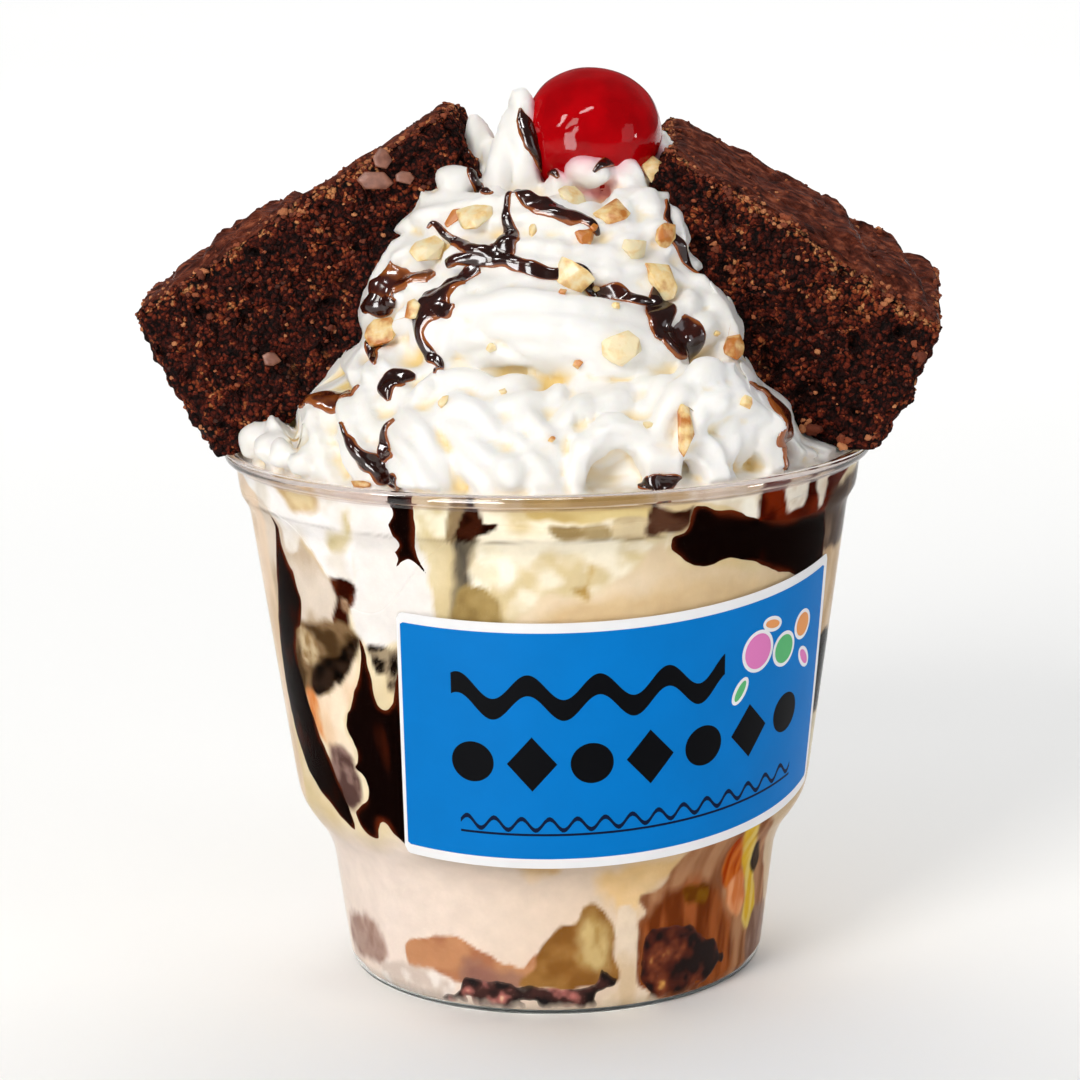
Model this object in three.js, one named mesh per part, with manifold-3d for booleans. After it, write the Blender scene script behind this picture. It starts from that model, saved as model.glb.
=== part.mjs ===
// A brownie sundae in a clear squat cup: ice cream and hot fudge inside, a piped swirl of
// whipped cream on top with nuts and chocolate drizzle, two brownie slabs and a cherry.
// Millimetres, +Z up. The origin is on the table, under the middle of the cup.
// Places on the round of the cup are given as an azimuth in degrees, 0 at the front (-Y)
// and growing towards +X, with a height.

import * as THREE from 'three';
import { mergeVertices } from 'three/addons/utils/BufferGeometryUtils.js';
import Module from 'manifold-3d';

const wasm = await Module();
wasm.setup();

// ---- Driving dimensions -------------------------------------------------------------

const GAP = 0.3;                 // clearance between pieces that touch
const WALL = 0.8;                // thickness of the cup's wall
const CUP_SIDES = 34;            // facets round the cup
const FILL_SIDES = 26;           // facets round the contents

// Outside of the cup from its standing ring to just under the rim: radius, height.
const CUP_OUTSIDE = [
  [31.0, 0.0],                   // outer edge of the standing ring
  [32.2, 1.8],                   // rounded heel
  [34.3, 17.2],                  // top of the narrow foot
  [35.0, 19.5],                  // the wall steps out over the foot
  [36.6, 22.5],
  [38.2, 25.0],
  [39.2, 28.0],                  // start of the straight main wall
  [45.4, 72.5],                  // underside of the stacking band
  [46.8, 75.5],
  [47.4, 79.0],
];
const RING_INNER = 28;           // inner edge of the standing ring
const PUSH_UP = 1.6;             // height of the raised middle of the base
const RIM_CENTRE = [48.0, 80.6]; // middle of the rolled rim's round section
const RIM_TUBE = 1.0;            // radius of that section
const RIM_TOP = RIM_CENTRE[1] + RIM_TUBE;

const FILL_TOP = 79;             // the contents reach this height at the wall
const HIGH = 160;                // above everything
const ICE_TOP = 76.5;            // height of the ice cream in the middle and at the right
const ICE_DIP = 15;              // how far it falls where the cream runs down at the left
const ICE_DIP_AZIMUTH = -38;
const ICE_DIP_RADIUS = 44;
const ICE_DIP_WIDTH = 15;

const SAUCE_DEPTH = 2.2;         // thickness of the sauce that runs down inside the wall
const SAUCE_CLEAR = 0.5;         // left free round the edge of each run of sauce
const FUDGE_DEPTH = 26;          // and of the fudge pool, which reaches in from the wall
const PATCH_INNER = 9;           // sauce outlines are drawn out from this radius

// The whipped cream's heap is a cone with a ball for its top.
const HEAP_SLOPE = 0.64;         // loss of radius for each millimetre of height
const HEAP_SHOULDER = [23, 118]; // radius and height where the cone meets the ball
const HEAP_LEAN = Math.atan(HEAP_SLOPE);
const BALL_RADIUS = HEAP_SHOULDER[0] / Math.cos(HEAP_LEAN);
const BALL_HEIGHT = HEAP_SHOULDER[1] - BALL_RADIUS * Math.sin(HEAP_LEAN);
const CREAM_COLUMNS = 62;        // facets of the cream's skin, round and up
const CREAM_ROWS = 24;
const CREAM_FOOT = 45;           // radius of the cream where it goes down into the cup

const TEETH = 7;                 // ridges that the star nozzle leaves on the rope
const TOOTH_DEPTH = 0.15;        // their depth, as a share of the rope's radius
const ROPE_FIRST = 8.6;          // radius of the rope in the bottom turn
const ROPE_LAST = 5.0;           // and at the top
const ROPE_START = -2.05;        // turns before the rope passes the front of the second tier
const ROPE_END = 1.9;
const ROPE_BOTTOM = 88;          // height of the bottom turn
const ROPE_RISE = 12.5;          // rise of each later turn
const ROPE_STEPS = 130;
const LOBE_LENGTH = 15;          // the rope swells and shrinks once in this length
const LOBE_SWELL = 0.09;

const SLAB_DEPTH = 50;           // both brownies, front to back
const CRAG = 1.0;                // how far the crumb stands out or falls in
const CRAG_WIDTH = 10;
const SLAB_EDGE = 1.6;           // worn off at the edges

// Each slab hangs from its outer front top corner. Its top slopes up to the heap, falls to
// the back by the pitch and is turned outwards; its back is longer by the flare, and its
// lower outer corner stands out by the splay.
const LEFT_SLAB = {
  corner: [-60.8, -15, 103.3],
  length: 55,
  thick: 25.5,
  slope: 32,
  pitch: 4.8,
  turn: 3,
  flare: 0.02,
  splay: 1.8,
};
const RIGHT_SLAB = {
  corner: [57.3, -20, 100.4],
  length: 47,
  thick: 24,
  slope: -33.4,
  pitch: 1.2,
  turn: -6.5,
  flare: 0.08,
  splay: 2,
};

const CHERRY = { centre: [7.4, -6, 126.6], radius: 10.6, height: 19.6 };

const LABEL = { width: 74.5, height: 37.5, azimuth: 21.2, middle: 45.4, tilt: 2.0 };
const LABEL_THICK = 0.4;
const LABEL_CORNER = 2.2;
const LABEL_COLUMNS = 24;

// ---- Small tools --------------------------------------------------------------------

const radians = THREE.MathUtils.degToRad;
const lerp = THREE.MathUtils.lerp;

function onRound(azimuth, radius, height) {
  const a = radians(azimuth);
  return new THREE.Vector3(radius * Math.sin(a), -radius * Math.cos(a), height);
}

// The same numbers at every run, between 0 and 1.
function seededDraw(seed) {
  let state = seed;
  return () => {
    state = (state * 1664525 + 1013904223) % 4294967296;
    return state / 4294967296;
  };
}

// Uneven lumps with a mean of nought and a reach of about one, a few millimetres wide.
function lumps(p, width) {
  const k = 2 * Math.PI / width;
  const a = Math.sin(k * p.x + 1.3 * Math.sin(0.61 * k * p.y) + 0.7);
  const b = Math.sin(k * 0.93 * p.y + 1.1 * Math.sin(0.73 * k * p.z) + 2.1);
  const c = Math.sin(k * 1.07 * p.z + 1.2 * Math.sin(0.67 * k * p.x) + 4.4);
  return (a + b + c) / 3 + 0.5 * a * b * c;
}

function moveVertices(geometry, move) {
  const position = geometry.attributes.position;
  const p = new THREE.Vector3();
  for (let i = 0; i < position.count; i += 1) {
    p.fromBufferAttribute(position, i);
    move(p);
    position.setXYZ(i, p.x, p.y, p.z);
  }
  return geometry;
}

// A closed three.js geometry as a solid that can be joined and cut.
function solid(geometry) {
  geometry.deleteAttribute('normal');
  geometry.deleteAttribute('uv');
  const merged = mergeVertices(geometry, 1e-4);
  const position = merged.attributes.position;
  const a = new THREE.Vector3();
  const b = new THREE.Vector3();
  const c = new THREE.Vector3();
  const corners = [];
  let volume = 0;
  for (let i = 0; i < merged.index.count; i += 3) {
    const face = [merged.index.getX(i), merged.index.getX(i + 1), merged.index.getX(i + 2)];
    if (new Set(face).size === 3) {
      corners.push(...face);
      a.fromBufferAttribute(position, face[0]);
      b.fromBufferAttribute(position, face[1]);
      c.fromBufferAttribute(position, face[2]);
      volume += a.dot(b.cross(c));
    }
  }
  if (volume < 0) {
    corners.reverse();
  }
  return new wasm.Manifold(new wasm.Mesh({
    numProp: 3,
    vertProperties: new Float32Array(position.array),
    triVerts: new Uint32Array(corners),
  }));
}

function join(solids) {
  return solids.reduce((whole, piece) => whole.add(piece));
}

// The largest body alone, so that loose scraps and shut hollows are gone.
function mainBody(whole) {
  const bodies = whole.decompose();
  return bodies.reduce((best, body) => (body.volume() > best.volume() ? body : best));
}

function geometryOf(body) {
  const mesh = body.getMesh();
  const geometry = new THREE.BufferGeometry();
  geometry.setAttribute('position', new THREE.BufferAttribute(mesh.vertProperties, 3));
  geometry.setIndex(new THREE.BufferAttribute(mesh.triVerts, 1));
  geometry.computeVertexNormals();
  return geometry;
}

function turned(profile, sides = CUP_SIDES) {
  const points = profile.map(([radius, height]) => new THREE.Vector2(radius, height));
  const geometry = new THREE.LatheGeometry(points, sides);
  geometry.rotateX(Math.PI / 2);
  return solid(geometry);
}

const group = new THREE.Group();

function addPart(name, body, color, roughness) {
  const material = new THREE.MeshStandardMaterial({ color, roughness, metalness: 0 });
  const mesh = new THREE.Mesh(geometryOf(mainBody(body)), material);
  mesh.name = name;
  group.add(mesh);
  return mesh;
}

// ---- Cup ----------------------------------------------------------------------------

// The inside of the cup, drawn in by a clearance, from the middle of its floor upwards.
function insideProfile(clearance) {
  const floor = PUSH_UP + WALL + clearance;
  const groove = WALL + clearance;
  const wall = CUP_OUTSIDE.slice(1).map(([radius, height]) => [radius - WALL - clearance, height]);
  return [
    [0, floor],
    [RING_INNER - 2, floor],
    [RING_INNER + 0.5, groove],
    [CUP_OUTSIDE[0][0] - WALL - clearance / 2, groove],
    ...wall,
  ];
}

function makeCup() {
  const [rimRadius, rimHeight] = RIM_CENTRE;
  const rim = [];
  for (let angle = -120; angle <= 180; angle += 60) {
    const a = radians(angle);
    rim.push([rimRadius + RIM_TUBE * Math.cos(a), rimHeight + RIM_TUBE * Math.sin(a)]);
  }
  const base = [[0, PUSH_UP], [RING_INNER - 2, PUSH_UP], [RING_INNER, 0]];
  return turned([...base, ...CUP_OUTSIDE, ...rim, ...insideProfile(0).reverse()]);
}

// All the room inside the cup up to a height, a clearance away from its wall.
function cupFill(clearance, top) {
  const profile = insideProfile(clearance);
  return turned([...profile, [profile.at(-1)[0], top], [0, top]], FILL_SIDES);
}

// ---- Ice cream and what is in the cup with it ---------------------------------------

// Height of the ice cream's top, which dips at the left where cream has run down.
function iceTop(x, y) {
  const dip = onRound(ICE_DIP_AZIMUTH, ICE_DIP_RADIUS, 0);
  const away = Math.hypot(x - dip.x, y - dip.y) / ICE_DIP_WIDTH;
  const waves = 0.8 * Math.sin(x / 6.5) * Math.cos(y / 7.5);
  return ICE_TOP + waves - ICE_DIP * Math.exp(-away * away);
}

// Everything above the ice cream's top, kept clear of it by a lift.
function aboveIce(lift) {
  const reach = 104;
  const cells = 9;
  const geometry = new THREE.BoxGeometry(reach, reach, 1, cells, cells, 1);
  moveVertices(geometry, (p) => {
    p.z = p.z > 0 ? HIGH : iceTop(p.x, p.y) + lift;
  });
  return solid(geometry);
}

// A block that a patch at the wall is cut from. Its outline is a closed curve through
// azimuths and heights, and the whole may be moved some millimetres aside and up.
function wallBlock(outline, aside = 0, up = 0) {
  const scale = radians(1) * ICE_DIP_RADIUS;
  const control = outline.map(([azimuth, height]) => new THREE.Vector3(azimuth * scale, height, 0));
  const curve = new THREE.CatmullRomCurve3(control, true, 'centripetal');
  const count = Math.round(outline.length * 1.1);
  const rim = [];
  for (let i = 0; i < count; i += 1) {
    const point = curve.getPoint(i / count);
    rim.push(new THREE.Vector2(point.x + aside, point.y + up));
  }
  const geometry = new THREE.ExtrudeGeometry(new THREE.Shape(rim), {
    depth: HIGH,
    steps: 1,
    bevelEnabled: false,
  });
  moveVertices(geometry, (p) => p.copy(onRound(p.x / scale, PATCH_INNER + p.z, p.y)));
  return solid(geometry);
}

// Outlines of the sauce against the wall: azimuth, height, counter-clockwise from outside.
const SAUCE_LEFT = [
  [-60.4, 74.5], [-66.2, 66], [-69.3, 56.3], [-67.2, 44], [-62.6, 33.6], [-56, 28.6],
  [-51.6, 29.4], [-53.6, 40.9], [-60, 52], [-60.4, 62],
];
const SAUCE_FRONT = [
  [-39.9, 58.5], [-43.2, 53], [-46.6, 46.5], [-45.6, 35], [-41.5, 28.6], [-35, 26.2],
  [-31.8, 30], [-32.2, 40], [-31.2, 48.5], [-34.4, 49.4], [-37.2, 53.4],
];
const SAUCE_DRIP = [
  [-29.6, 77.4], [-29.4, 74.2], [-31.4, 70.6], [-29.6, 68.4], [-27, 71.2], [-24.4, 68.9],
  [-22.2, 71.4], [-23.6, 74.5], [-23.4, 77.4], [-26.5, 78.6],
];
const FUDGE = [
  [15.5, 78.6], [20.6, 74.2], [23.9, 69.9], [32, 68.1], [43, 67], [54, 64.9], [62.4, 65.9],
  [65.2, 71.5], [66.5, 78.6], [40, 79.2],
];

// Sauce is a skin against the wall with an outline cut from it. Its room is a little larger
// all round, and the other contents keep out of that.
function sauce(outline, depth) {
  const skin = cupFill(GAP, FILL_TOP).subtract(cupFill(GAP + depth, HIGH));
  return wallBlock(outline).intersect(skin);
}

function sauceRoom(outline, depth) {
  const skin = cupFill(0, FILL_TOP + GAP).subtract(cupFill(2 * GAP + depth, HIGH));
  const moves = [[SAUCE_CLEAR, 0], [-SAUCE_CLEAR, 0], [0, SAUCE_CLEAR], [0, -SAUCE_CLEAR]];
  const blocks = moves.map(([aside, up]) => wallBlock(outline, aside, up));
  return join(blocks).intersect(skin);
}

// A rough lump of brownie, pressed against the inside of the foot.
function brownieLump(place, size, grow) {
  const geometry = new THREE.IcosahedronGeometry(1, 2);
  moveVertices(geometry, (p) => {
    const rough = 1 + 0.1 * lumps(p.clone().multiply(size), 5);
    p.multiply(new THREE.Vector3().copy(size).multiplyScalar(rough).addScalar(grow));
  });
  geometry.rotateZ(radians(place.azimuth));
  const centre = onRound(place.azimuth, place.radius, place.height);
  geometry.translate(centre.x, centre.y, centre.z);
  return solid(geometry);
}

const LUMPS = {
  brownie_lump_front: {
    place: { azimuth: -9, radius: 21, height: 4.4 },
    size: new THREE.Vector3(12, 10.5, 4.2),
  },
  brownie_lump_side: {
    place: { azimuth: 41, radius: 25.5, height: 13 },
    size: new THREE.Vector3(9.5, 9, 10.5),
  },
};

// ---- Whipped cream ------------------------------------------------------------------

function heapRadius(height) {
  if (height <= HEAP_SHOULDER[1]) {
    return HEAP_SHOULDER[0] + HEAP_SLOPE * (HEAP_SHOULDER[1] - height);
  }
  const above = Math.min(height - BALL_HEIGHT, BALL_RADIUS);
  return Math.sqrt(BALL_RADIUS ** 2 - above ** 2);
}

// The way straight out of the heap at a height.
function wayOut(azimuth, height) {
  const onBall = Math.asin(Math.min((height - BALL_HEIGHT) / BALL_RADIUS, 1));
  const lean = height <= HEAP_SHOULDER[1] ? HEAP_LEAN : onBall;
  return onRound(azimuth, Math.cos(lean), Math.sin(lean));
}

// The height reached after going a share of the way from the rim to the top of the heap.
function heightAlong(share) {
  const cone = (HEAP_SHOULDER[1] - RIM_TOP) / Math.cos(HEAP_LEAN);
  const arc = BALL_RADIUS * (Math.PI / 2 - HEAP_LEAN);
  const way = share * (cone + arc);
  if (way < cone) {
    return RIM_TOP + way * Math.cos(HEAP_LEAN);
  }
  return BALL_HEIGHT + BALL_RADIUS * Math.sin(HEAP_LEAN + (way - cone) / BALL_RADIUS);
}

// Where a look straight at the heap from outside meets a surface.
function landOn(surface, azimuth, height) {
  const away = wayOut(azimuth, height);
  const aim = onRound(azimuth, heapRadius(height), height);
  const start = aim.clone().addScaledVector(away, 20);
  const [hit] = new THREE.Raycaster(start, away.clone().negate()).intersectObject(surface);
  return { point: hit ? hit.point : aim, away };
}

// A piped rope: a star section swept along a curve. The frame at each step is taken from
// the way out of a reference direction, and the ridges turn slowly round the rope.
function rope(curve, radiusAt, steps, teeth, turns, reference) {
  const sides = teeth * 2;
  const geometry = new THREE.CylinderGeometry(1, 1, 1, sides, steps);
  moveVertices(geometry, (p) => {
    const t = p.y + 0.5;
    const along = curve.getTangent(t);
    const out = along.clone().cross(reference).normalize();
    const lift = out.clone().cross(along);
    const angle = Math.atan2(p.z, p.x);
    const tooth = 1 + TOOTH_DEPTH * Math.cos(teeth * angle);
    const radius = Math.hypot(p.x, p.z) * radiusAt(t) * tooth;
    const spun = angle + 2 * Math.PI * turns * t;
    p.copy(curve.getPoint(t));
    p.addScaledVector(out, radius * Math.cos(spun));
    p.addScaledVector(lift, radius * Math.sin(spun));
  });
  return solid(geometry);
}

// The long rope that winds up the heap, clockwise seen from above.
class Whorl extends THREE.Curve {
  getPoint(t, target = new THREE.Vector3()) {
    const turn = lerp(ROPE_START, ROPE_END, t);
    const height = ROPE_BOTTOM + ROPE_RISE * Math.max(0, turn + 1);
    const radius = heapRadius(height) - 0.85 * ropeRadius(t);
    return target.copy(onRound(-360 * turn, Math.max(radius, 1.5), height));
  }
}

function ropeRadius(t) {
  const turn = lerp(ROPE_START, ROPE_END, t);
  const climbed = Math.max(0, turn + 1) / (ROPE_END + 1);
  const length = 2 * Math.PI * (turn - ROPE_START) * lerp(35, 22, climbed);
  const swell = 1 + LOBE_SWELL * Math.sin(2 * Math.PI * length / LOBE_LENGTH);
  const ends = Math.min(1, 0.3 + 22 * Math.min(t, 1 - t));
  return lerp(ROPE_FIRST, ROPE_LAST, climbed) * swell * ends;
}

// Ruffles where the rope folds over itself: azimuth, height, radius out, width, rope radius.
const RUFFLES = [
  [-74, 83.5, 42.5, 11, 5.0], [-60, 87, 42.5, 11, 5.2], [-44, 88.5, 41, 13, 5.4],
  [-27, 86.5, 42.5, 12, 5.4], [-8, 89.5, 41.5, 14, 5.8], [12, 85.5, 43, 15, 5.2],
  [32, 89, 42, 15, 5.6], [48, 87, 42.5, 12, 5.2], [61, 84, 43, 9, 4.6],
  [-20, 99.5, 34.5, 12, 5.0], [20, 99, 35, 14, 5.2], [43, 99.5, 34.5, 11, 4.6],
  [90, 84.5, 42, 13, 5.2], [111, 86.5, 42, 13, 5.4], [133, 85.5, 42.5, 14, 5.4],
  [155, 87, 42, 14, 5.4], [177, 86, 42.5, 14, 5.4], [199, 87, 42, 14, 5.4],
  [221, 86, 42.5, 14, 5.4], [243, 86.5, 42, 13, 5.2], [265, 85, 42.5, 13, 5.2],
];

function ruffle([azimuth, height, radius, width, thick]) {
  const half = THREE.MathUtils.radToDeg(width / 2 / radius);
  const curve = new THREE.CatmullRomCurve3([
    onRound(azimuth - half, radius - 3.5, height - 4.5),
    onRound(azimuth - 0.8 * half, radius - 0.5, height + 1),
    onRound(azimuth, radius, height + 3.8),
    onRound(azimuth + 0.8 * half, radius - 0.5, height + 0.5),
    onRound(azimuth + half, radius - 4, height - 5),
  ]);
  const swell = (t) => thick * (0.62 + 0.38 * Math.sin(Math.PI * t));
  return rope(curve, swell, 8, 5, 0.1, onRound(azimuth, 1, 0));
}

// Pulled-up tips: foot x, y, z, tip x, y, z and the radius at the foot.
const TIPS = [
  [-4.5, -9, 114, -2.3, -9.5, 131.5, 5.4],
  [-8, -5, 114, -9.5, -6, 129, 5.2],
  [1, -14, 112, 1.5, -14.5, 121.5, 5.2],
  [11, -15, 111, 12.5, -14.5, 122.5, 5.4],
  [15, -7, 112, 18, -8.5, 121.5, 4.8],
  [-12, -13, 109, -14.5, -14, 121, 5.0],
  [4, 9, 113, 5, 9, 125, 7.0],
  [-4, 12, 110, -6, 15, 118, 6.0],
  [9, 14, 106, 8, 17, 114, 6.5],
  [-2, 22, 100, -2, 25, 107, 7.0],
  [21, -19, 99, 26, -20.5, 107, 5.0],
];

function tip([x0, y0, z0, x1, y1, z1, thick]) {
  const foot = new THREE.Vector3(x0, y0, z0);
  const peak = new THREE.Vector3(x1, y1, z1);
  const bend = foot.clone().lerp(peak, 0.6).add(new THREE.Vector3(0.8, 0, 0));
  const curve = new THREE.CatmullRomCurve3([foot, bend, peak]);
  const taper = (t) => thick * (0.12 + 0.88 * Math.sqrt(1 - t));
  return rope(curve, taper, 7, 6, 0.15, new THREE.Vector3(1, 0, 0));
}

// The ropes lie on a plain core. One skin is then drawn over them from the rim to the top,
// so the cream is a single body with the ropes' swells, ridges and tips.
function makeHeap() {
  const core = [[0, RIM_TOP - 10], [46, RIM_TOP - 10]];
  for (const height of [RIM_TOP, 100, HEAP_SHOULDER[1], HEAP_SHOULDER[1] + 4]) {
    core.push([heapRadius(height) - 6, height]);
  }
  core.push([0, HEAP_SHOULDER[1] + 4]);
  const up = new THREE.Vector3(0, 0, 1);
  const whorl = rope(new Whorl(), ropeRadius, ROPE_STEPS, TEETH, 9, up);
  const ropes = join([turned(core), whorl, ...RUFFLES.map(ruffle), ...TIPS.map(tip)]);
  const surface = new THREE.Mesh(geometryOf(ropes), new THREE.MeshBasicMaterial());
  surface.geometry.computeBoundingSphere();

  const skin = new THREE.CylinderGeometry(1, 1, 1, CREAM_COLUMNS, CREAM_ROWS + 1);
  moveVertices(skin, (p) => {
    const azimuth = THREE.MathUtils.radToDeg(Math.atan2(p.x, -p.z));
    const row = Math.round((p.y + 0.5) * (CREAM_ROWS + 1)) - 1;
    const inMiddle = Math.hypot(p.x, p.z) < 0.5;
    if (row < 0) {
      p.copy(onRound(azimuth, inMiddle ? 0 : CREAM_FOOT, FILL_TOP - 2));
    } else {
      const share = inMiddle ? 1 : row / (CREAM_ROWS + 0.5);
      p.copy(landOn(surface, azimuth, heightAlong(share)).point);
    }
  });
  return solid(skin);
}

// ---- Brownie slabs and cherry -------------------------------------------------------

// A cut slab with worn edges and a craggy crumb, leaning on the heap.
function slab({ corner, length, thick, slope, pitch, turn, flare, splay }, grow) {
  const half = new THREE.Vector3(length / 2, SLAB_DEPTH / 2, thick / 2);
  const side = Math.sign(slope);
  const geometry = new THREE.BoxGeometry(length, SLAB_DEPTH, thick, 9, 8, 5);
  moveVertices(geometry, (p) => {
    const faces = p.clone().divide(half).toArray().map((v) => Math.trunc(v * 1.001));
    const outward = new THREE.Vector3(...faces);
    const meeting = outward.lengthSq() - 1;
    const rough = CRAG * lumps(p.clone().addScalar(corner[0]), CRAG_WIDTH);
    p.addScaledVector(outward.normalize(), rough + grow - SLAB_EDGE * meeting);
    p.x = side * (p.x + half.x) * (1 + flare * (p.y + half.y) / SLAB_DEPTH);
    p.y += half.y;
    p.z -= half.z;
    p.x += side * splay * p.z / thick;
  });
  geometry.rotateX(radians(-pitch));
  geometry.rotateY(radians(-slope));
  geometry.rotateZ(radians(turn));
  geometry.translate(...corner);
  return solid(geometry);
}

function cherrySolid(grow) {
  const { centre, radius, height } = CHERRY;
  const geometry = new THREE.SphereGeometry(1, 18, 11);
  geometry.rotateX(Math.PI / 2);
  geometry.scale(radius + grow, radius + grow, height / 2 + grow);
  geometry.translate(...centre);
  return solid(geometry);
}

// ---- Nuts and drizzle on the cream --------------------------------------------------

// Threads of chocolate: azimuth and height of the points that each passes through.
const DRIZZLE = [
  [[-28, 97.4], [-31, 100.6], [-32, 104.6], [-28, 109.4], [-14, 110.8], [0, 109.5], [15, 107.3],
    [25, 103.6], [31, 99.4], [37, 98.7], [38, 94.6]],
  [[-41, 115], [-32, 114.4], [-20, 112.7], [-11, 113.2], [-10, 115], [-13, 118.8]],
  [[-12, 120.9], [-5, 119.6], [6, 117.5], [18, 114.6]],
  [[-52, 105.3], [-47, 107.8], [-35, 109.1]],
  [[-51, 101.5], [-47, 98.7], [-39, 96]],
  [[-34, 95.9], [-36, 93.9], [-35, 92.1]],
  [[-59, 90.2], [-52, 91.1], [-43, 92.5]],
  [[-40, 87.6], [-35, 85.3], [-31, 83.2]],
  [[43, 91.6], [50, 90.9], [52, 88.4], [49, 85.6]],
  [[-43, 125.1], [-32, 122.3], [-24, 120.5]],
];
const THREAD = 1.1;              // radius of a thread

function thread(surface, points) {
  const lift = 0.35;
  const route = points.map(([azimuth, height]) => {
    const { point, away } = landOn(surface, azimuth, height);
    return point.addScaledVector(away, lift);
  });
  const curve = new THREE.CatmullRomCurve3(route, false, 'centripetal');
  const section = new THREE.Shape();
  section.absarc(0, 0, THREAD, 0, 2 * Math.PI);
  const geometry = new THREE.ExtrudeGeometry(section, {
    extrudePath: curve,
    steps: Math.ceil(curve.getLength() / 5),
    curveSegments: 3,
  });
  return solid(geometry);
}

// Chopped nuts: azimuth, height and length of each piece.
const NUTS = [
  [57, 122.5, 6.5], [10, 120, 5.5], [25, 118, 6.5], [44, 114.2, 5.5], [25, 113, 6], [7, 108.9, 6.5],
  [34, 107.8, 5.5], [-27, 117.9, 7], [-29, 112.4, 3.5], [53, 97.3, 5], [18, 98.4, 6.5],
  [26, 87.8, 6.5], [7, 97.4, 3], [-4, 115.7, 3], [-41, 112.7, 6], [-37, 104, 4.5],
  [-50, 101, 6], [-35, 81.9, 4], [-35, 117.1, 6.5], [150, 112, 5], [175, 108, 6], [200, 113, 5],
  [165, 92, 5], [235, 88, 5.5],
];

function nut(surface, [azimuth, height, length], draw) {
  const { point, away } = landOn(surface, azimuth, height);
  const geometry = new THREE.IcosahedronGeometry(length / 2, 0);
  geometry.scale(1, 0.55 + 0.25 * draw(), 0.42 + 0.16 * draw());
  geometry.rotateZ(Math.PI * draw());
  geometry.rotateX(0.5 * draw() - 0.25);
  const seat = new THREE.Quaternion().setFromUnitVectors(new THREE.Vector3(0, 0, 1), away);
  geometry.applyQuaternion(seat);
  point.addScaledVector(away, length * 0.1);
  geometry.translate(point.x, point.y, point.z);
  return solid(geometry);
}

// ---- Label --------------------------------------------------------------------------

// A flat sticker wrapped on the cone of the main wall. The cone is unrolled about its
// apex, where the sticker is a plain rectangle, and each point is rolled back up.
function onLabel(across, up, lift) {
  const [low, high] = [CUP_OUTSIDE[6], CUP_OUTSIDE[7]];
  const flare = Math.atan2(high[0] - low[0], high[1] - low[1]);
  const apex = low[1] - low[0] / Math.tan(flare);
  const reach = (LABEL.middle - apex) / Math.cos(flare);
  const tilt = radians(LABEL.tilt);
  const x = across * Math.cos(tilt) - up * Math.sin(tilt);
  const y = across * Math.sin(tilt) + up * Math.cos(tilt);
  const distance = Math.hypot(x, reach + y);
  const turn = Math.atan2(x, reach + y) / Math.sin(flare);
  const azimuth = LABEL.azimuth + THREE.MathUtils.radToDeg(turn);
  const radius = distance * Math.sin(flare) + lift;
  return onRound(azimuth, radius, apex + distance * Math.cos(flare));
}

// Half the label's height at a place across it, less at its rounded corners.
function labelHalf(across) {
  const over = Math.abs(across) - (LABEL.width / 2 - LABEL_CORNER);
  const drop = over > 0 ? LABEL_CORNER - Math.sqrt(Math.max(LABEL_CORNER ** 2 - over ** 2, 0)) : 0;
  return LABEL.height / 2 - drop;
}

function makeLabel() {
  const geometry = new THREE.BoxGeometry(2, 2, 1, LABEL_COLUMNS, 1, 1);
  moveVertices(geometry, (p) => {
    const across = LABEL.width / 2 * Math.sin(p.x * Math.PI / 2) * 0.35 + p.x * LABEL.width / 2 * 0.65;
    const lift = GAP + (p.z > 0 ? LABEL_THICK : 0);
    p.copy(onLabel(across, p.y * labelHalf(across), lift));
  });
  return solid(geometry);
}

// ---- Assembly -----------------------------------------------------------------------

const rooms = [
  sauceRoom(SAUCE_LEFT, SAUCE_DEPTH),
  sauceRoom(SAUCE_FRONT, SAUCE_DEPTH),
  sauceRoom(SAUCE_DRIP, SAUCE_DEPTH),
  sauceRoom(FUDGE, FUDGE_DEPTH),
];
const inFill = cupFill(GAP, FILL_TOP);
const lumpRooms = Object.values(LUMPS).map(({ place, size }) => brownieLump(place, size, GAP));

let iceCream = inFill.subtract(aboveIce(0));
for (const room of [...rooms, ...lumpRooms]) {
  iceCream = iceCream.subtract(room);
}

// The cup's wall and rim with the clearance round them, which the cream keeps out of.
const inner = insideProfile(GAP).slice(3);
const cupRoom = turned([
  ...inner,
  [inner.at(-1)[0], RIM_TOP + GAP],
  [60, RIM_TOP + GAP],
  [60, -1],
  [inner[0][0], -1],
  inner[0],
]);
const neighbours = [cupRoom, slab(LEFT_SLAB, GAP), slab(RIGHT_SLAB, GAP), cherrySolid(GAP), ...rooms];

let cream = makeHeap().add(inFill).intersect(aboveIce(GAP));
for (const neighbour of neighbours) {
  cream = cream.subtract(neighbour);
}
const surface = new THREE.Mesh(geometryOf(mainBody(cream)), new THREE.MeshBasicMaterial());
const draw = seededDraw(7);
const toppings = [
  ...DRIZZLE.map((points) => thread(surface, points)),
  ...NUTS.map((piece) => nut(surface, piece, draw)),
];
cream = join([cream, ...toppings]);
for (const neighbour of neighbours) {
  cream = cream.subtract(neighbour);
}

const cupSpace = turned([[0, -1], [60, -1], [60, RIM_TOP + GAP], [0, RIM_TOP + GAP]]);

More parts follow.
